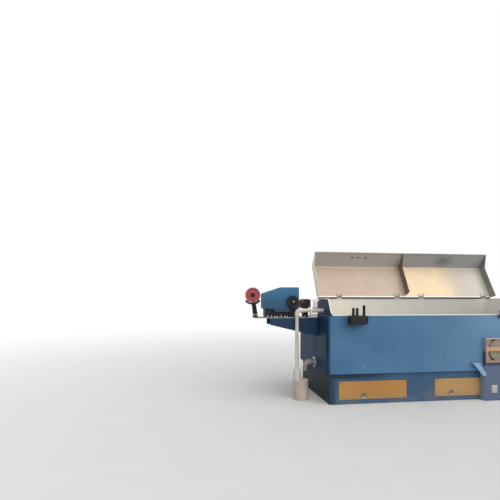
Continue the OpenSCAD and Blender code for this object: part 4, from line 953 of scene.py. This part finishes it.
valve_plastic = Finish("valve_plastic", Roughness=0.4)
valve_plastic.ground(valve_plastic.noise(20.0, 4.0).ramp(0.3, 0.7), (0.80, 0.79, 0.78), (0.70, 0.68, 0.65))
valve_plastic.bump(valve_plastic.noise(60.0), depth=0.0002, radius=0.002)
dress(valve_plastic, "pvc_valve", "pipe_saddle")

valve_screw_r = 0.009
valve_low, valve_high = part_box("pvc_valve")
valve_mid = (valve_low + valve_high) / 2
valve_screw = Form()
screw(valve_screw, (valve_mid.x, valve_mid.y, valve_high.z), up, valve_screw_r)
valve_screw.piece("valve_screw", dull_zinc, "machine")


# Drain elbow: bent steel pipe that empties the tank, dull and stained, with a round flange that six
# bolts hold on the end wall. The flange's outer face is cleaner.
drain_steel = Finish("drain_steel", Metallic=0.5)
mottle = drain_steel.noise(18.0, 5.0)
stained = drain_steel.mix(mottle.ramp(0.3, 0.7), (0.19, 0.185, 0.165), (0.30, 0.29, 0.265))
drain_steel.ground(drain_steel.facing("X").ramp(-1.0, -0.8), (0.78, 0.77, 0.74), stained)
drain_steel.set("Roughness", mottle * 0.3 + 0.35)
drain_steel.bump(mottle, depth=0.0005, radius=0.002)
dress(drain_steel, "drain_elbow")

to_left = (-1, 0, 0)
drain_flange_t = 0.016
drain_bolt_inset = 0.012
drain_bolt_across = 0.012
drain_low, drain_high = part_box("drain_elbow")
drain_flange_r = (drain_high.y - drain_low.y) / 2
drain_middle = (body_low.x - drain_flange_t, (drain_low.y + drain_high.y) / 2, drain_high.z - drain_flange_r)
drain_bolts = Form()
bolt_circle(drain_bolts, drain_middle, drain_flange_r - drain_bolt_inset, to_left, 0.5, drain_bolt_across)
drain_bolts.piece("drain_bolts", dull_zinc, "machine")


# Outlet pedestal: blue welded box beside the tank's right end, with a saddle on top. A folded light
# bracket laps onto its left edge, and its left face is painted pale as painted light.
stand_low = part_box("outlet_pedestal")[0]
bars_low, bars_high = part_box("capstan_guard")
lap_end = stand_low.x + 0.199
pedestal_left = lap_end - 0.020
stand_paint = enamel("pedestal_blue", main=(0.088, 0.118, 0.185), faded=(0.108, 0.145, 0.218))
saddle = stand_paint.axis("Z").ramp(bars_low.z - 0.044, bars_low.z - 0.040)
# Painted light: the left face is painted pale.
painted_light_left_face = (-stand_paint.facing("X")).ramp(0.7, 0.9) * (1 - saddle)
lap = 1 - stand_paint.axis("Y").ramp(stand_low.y + 0.002, stand_low.y + 0.004)
bracket = 1 - stand_paint.axis("X").ramp(pedestal_left - 0.008, pedestal_left - 0.004)
stand_paint.coat(saddle, (0.085, 0.105, 0.155))
stand_paint.coat(painted_light_left_face, (0.26, 0.31, 0.355))
stand_paint.coat(lap.most(bracket), (0.23, 0.365, 0.55))
stand_paint.chipped(primer)
dress(stand_paint, "outlet_pedestal")


# Capstan guard: flat frame of orange bars around two windows, screwed upright on the saddle. The
# middle bar is the brightest, and through the windows its back frame shows salmon, painted paler
# as painted light. Its sides are painted light blue above and dark below as painted light and
# shade, and its top edge carries a painted highlight.
bar_paint = enamel("guard_orange", main=(0.33, 0.205, 0.165), faded=(0.38, 0.24, 0.195), roughness=0.45)
height = bar_paint.axis("Z")
on_front = (-bar_paint.facing("Y")).ramp(0.6, 0.9)
above_window = height.ramp(bars_low.z + 0.150, bars_low.z + 0.156)
below_window = 1 - height.ramp(bars_low.z + 0.208, bars_low.z + 0.214)
upper_half = height.ramp(bars_low.z + 0.178, bars_low.z + 0.190)
# Painted highlight: a pale grey line along the top edge.
top_edge_highlight = height.ramp(bars_high.z - 0.018, bars_high.z - 0.010)
back_frame = bar_paint.axis("Y").ramp(bars_high.y - 0.010, bars_high.y - 0.006)
middle_bar = bar_paint.mix(upper_half, (0.60, 0.31, 0.145), (0.47, 0.32, 0.26))
# The salmon back frame is painted paler as painted light.
salmon_painted_light = bar_paint.mix(bar_paint.noise(12.0, 4.0).ramp(0.3, 0.7), (0.70, 0.47, 0.37), (0.58, 0.42, 0.33))
# Painted light and shade: the sides are painted light blue above and dark below.
sides = bar_paint.mix(height.ramp(bars_low.z + 0.10, bars_low.z + 0.22),
                      (0.075, 0.085, 0.12), (0.20, 0.31, 0.42))
bar_paint.coat(above_window * below_window, middle_bar)
bar_paint.coat(top_edge_highlight, (0.46, 0.42, 0.40))
bar_paint.coat(1 - on_front, sides)
bar_paint.coat(on_front * back_frame, salmon_painted_light)
bar_paint.chipped((0.42, 0.34, 0.29))
dress(bar_paint, "capstan_guard")

bar_screw_r = 0.005
bar_screw_inset = 0.018
bars_mid_z = (bars_low.z + bars_high.z) / 2
outlet_bolts = Form()
for x in (bars_low.x + bar_screw_inset, bars_high.x - bar_screw_inset):
    for z in (bars_low.z + 0.015, bars_high.z - 0.030, bars_mid_z + 0.02):
        screw(outlet_bolts, (x, bars_low.y, z), to_front, bar_screw_r)
lap_bolt_across = 0.009
lap_bolt_place = (lap_end - 0.010, stand_low.y, bars_low.z - 0.163)
bolt(outlet_bolts, lap_bolt_place, to_front, lap_bolt_across)
outlet_bolts.piece("outlet_bolts", dull_zinc, "machine")


# Finishing capstan: thin grooved sheave of bare iron behind the guard, on a fixed steel axle that
# ends in a pressed cap. Its upper part has a red bloom of rust.
capstan_iron = Finish("capstan_iron", Metallic=0.3, Specular_IOR_Level=0.3)
mottle = capstan_iron.noise(14.0, 5.0)
rusty = capstan_iron.axis("Z").ramp(bars_low.z + 0.15, bars_low.z + 0.20)
capstan_iron.ground(mottle.ramp(0.3, 0.7), (0.19, 0.17, 0.125), (0.27, 0.235, 0.18))
capstan_iron.coat(rusty * 0.8, (0.30, 0.235, 0.205))
capstan_iron.set("Roughness", mottle * 0.2 + 0.38)
capstan_iron.bump(capstan_iron.noise(90.0), depth=0.0003, radius=0.002)
dress(capstan_iron, "finishing_capstan")
dress(zinc, "capstan_axle")

cap_profile = [(0, 0), (0.020, 0), (0.020, 0.002), (0.018, 0.003), (0, 0.003)]
capstan_low, capstan_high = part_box("finishing_capstan")
capstan_mid = (capstan_low + capstan_high) / 2
axle_end_y = capstan_low.y - 0.002
capstan_cap = Form()
capstan_cap.turned((capstan_mid.x, axle_end_y, capstan_mid.z), to_front, cap_profile, sides=32)
capstan_cap.piece("capstan_cap", dull_zinc, "machine")


# Pedestal plate: small bare plate of thin sheet in the lining's cream, glued flat on the pedestal's
# front with nothing on it.
plate_t = 0.0025
plate_left = pedestal_left + 0.097
plate_right = pedestal_left + 0.181
plate_foot = 0.105
plate_top = 0.208
plate_low = (plate_left, bars_low.y - plate_t, plate_foot)
plate_high = (plate_right, bars_low.y, plate_top)
pedestal_plate = Form()
block(pedestal_plate, plate_low, plate_high, soft_edge=0.0008)
pedestal_plate.piece("pedestal_plate", lining, "machine")


# Exit guide: small bracket on the lip that leads the wire out, with two cheeks and a roller. It is
# painted olive above a dark blue plate, and screwed to the front wall.
lip_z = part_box("lip_trim")[0].z
olive = Finish("olive_paint", Roughness=0.5)
cheeks = olive.mix(olive.noise(20.0, 4.0), (0.10, 0.10, 0.045), (0.16, 0.155, 0.08))
olive.ground(olive.axis("Z").ramp(lip_z, lip_z + 0.012), (0.030, 0.045, 0.095), cheeks)
olive.chipped((0.3, 0.3, 0.28))
olive.bump(olive.noise(120.0), depth=0.0002, radius=0.002)
dress(olive, "exit_guide")

exit_plate_t = 0.008
exit_screw_r = 0.005
exit_screw_inset = 0.022
exit_screw_drop = 0.030
exit_low, exit_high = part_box("exit_guide")
exit_screws = Form()
for x in (exit_low.x + exit_screw_inset, exit_high.x - exit_screw_inset):
    screw(exit_screws, (x, body_low.y - exit_plate_t, lip_z - exit_screw_drop), to_front, exit_screw_r)
exit_screws.piece("exit_guide_screws", zinc, "machine")
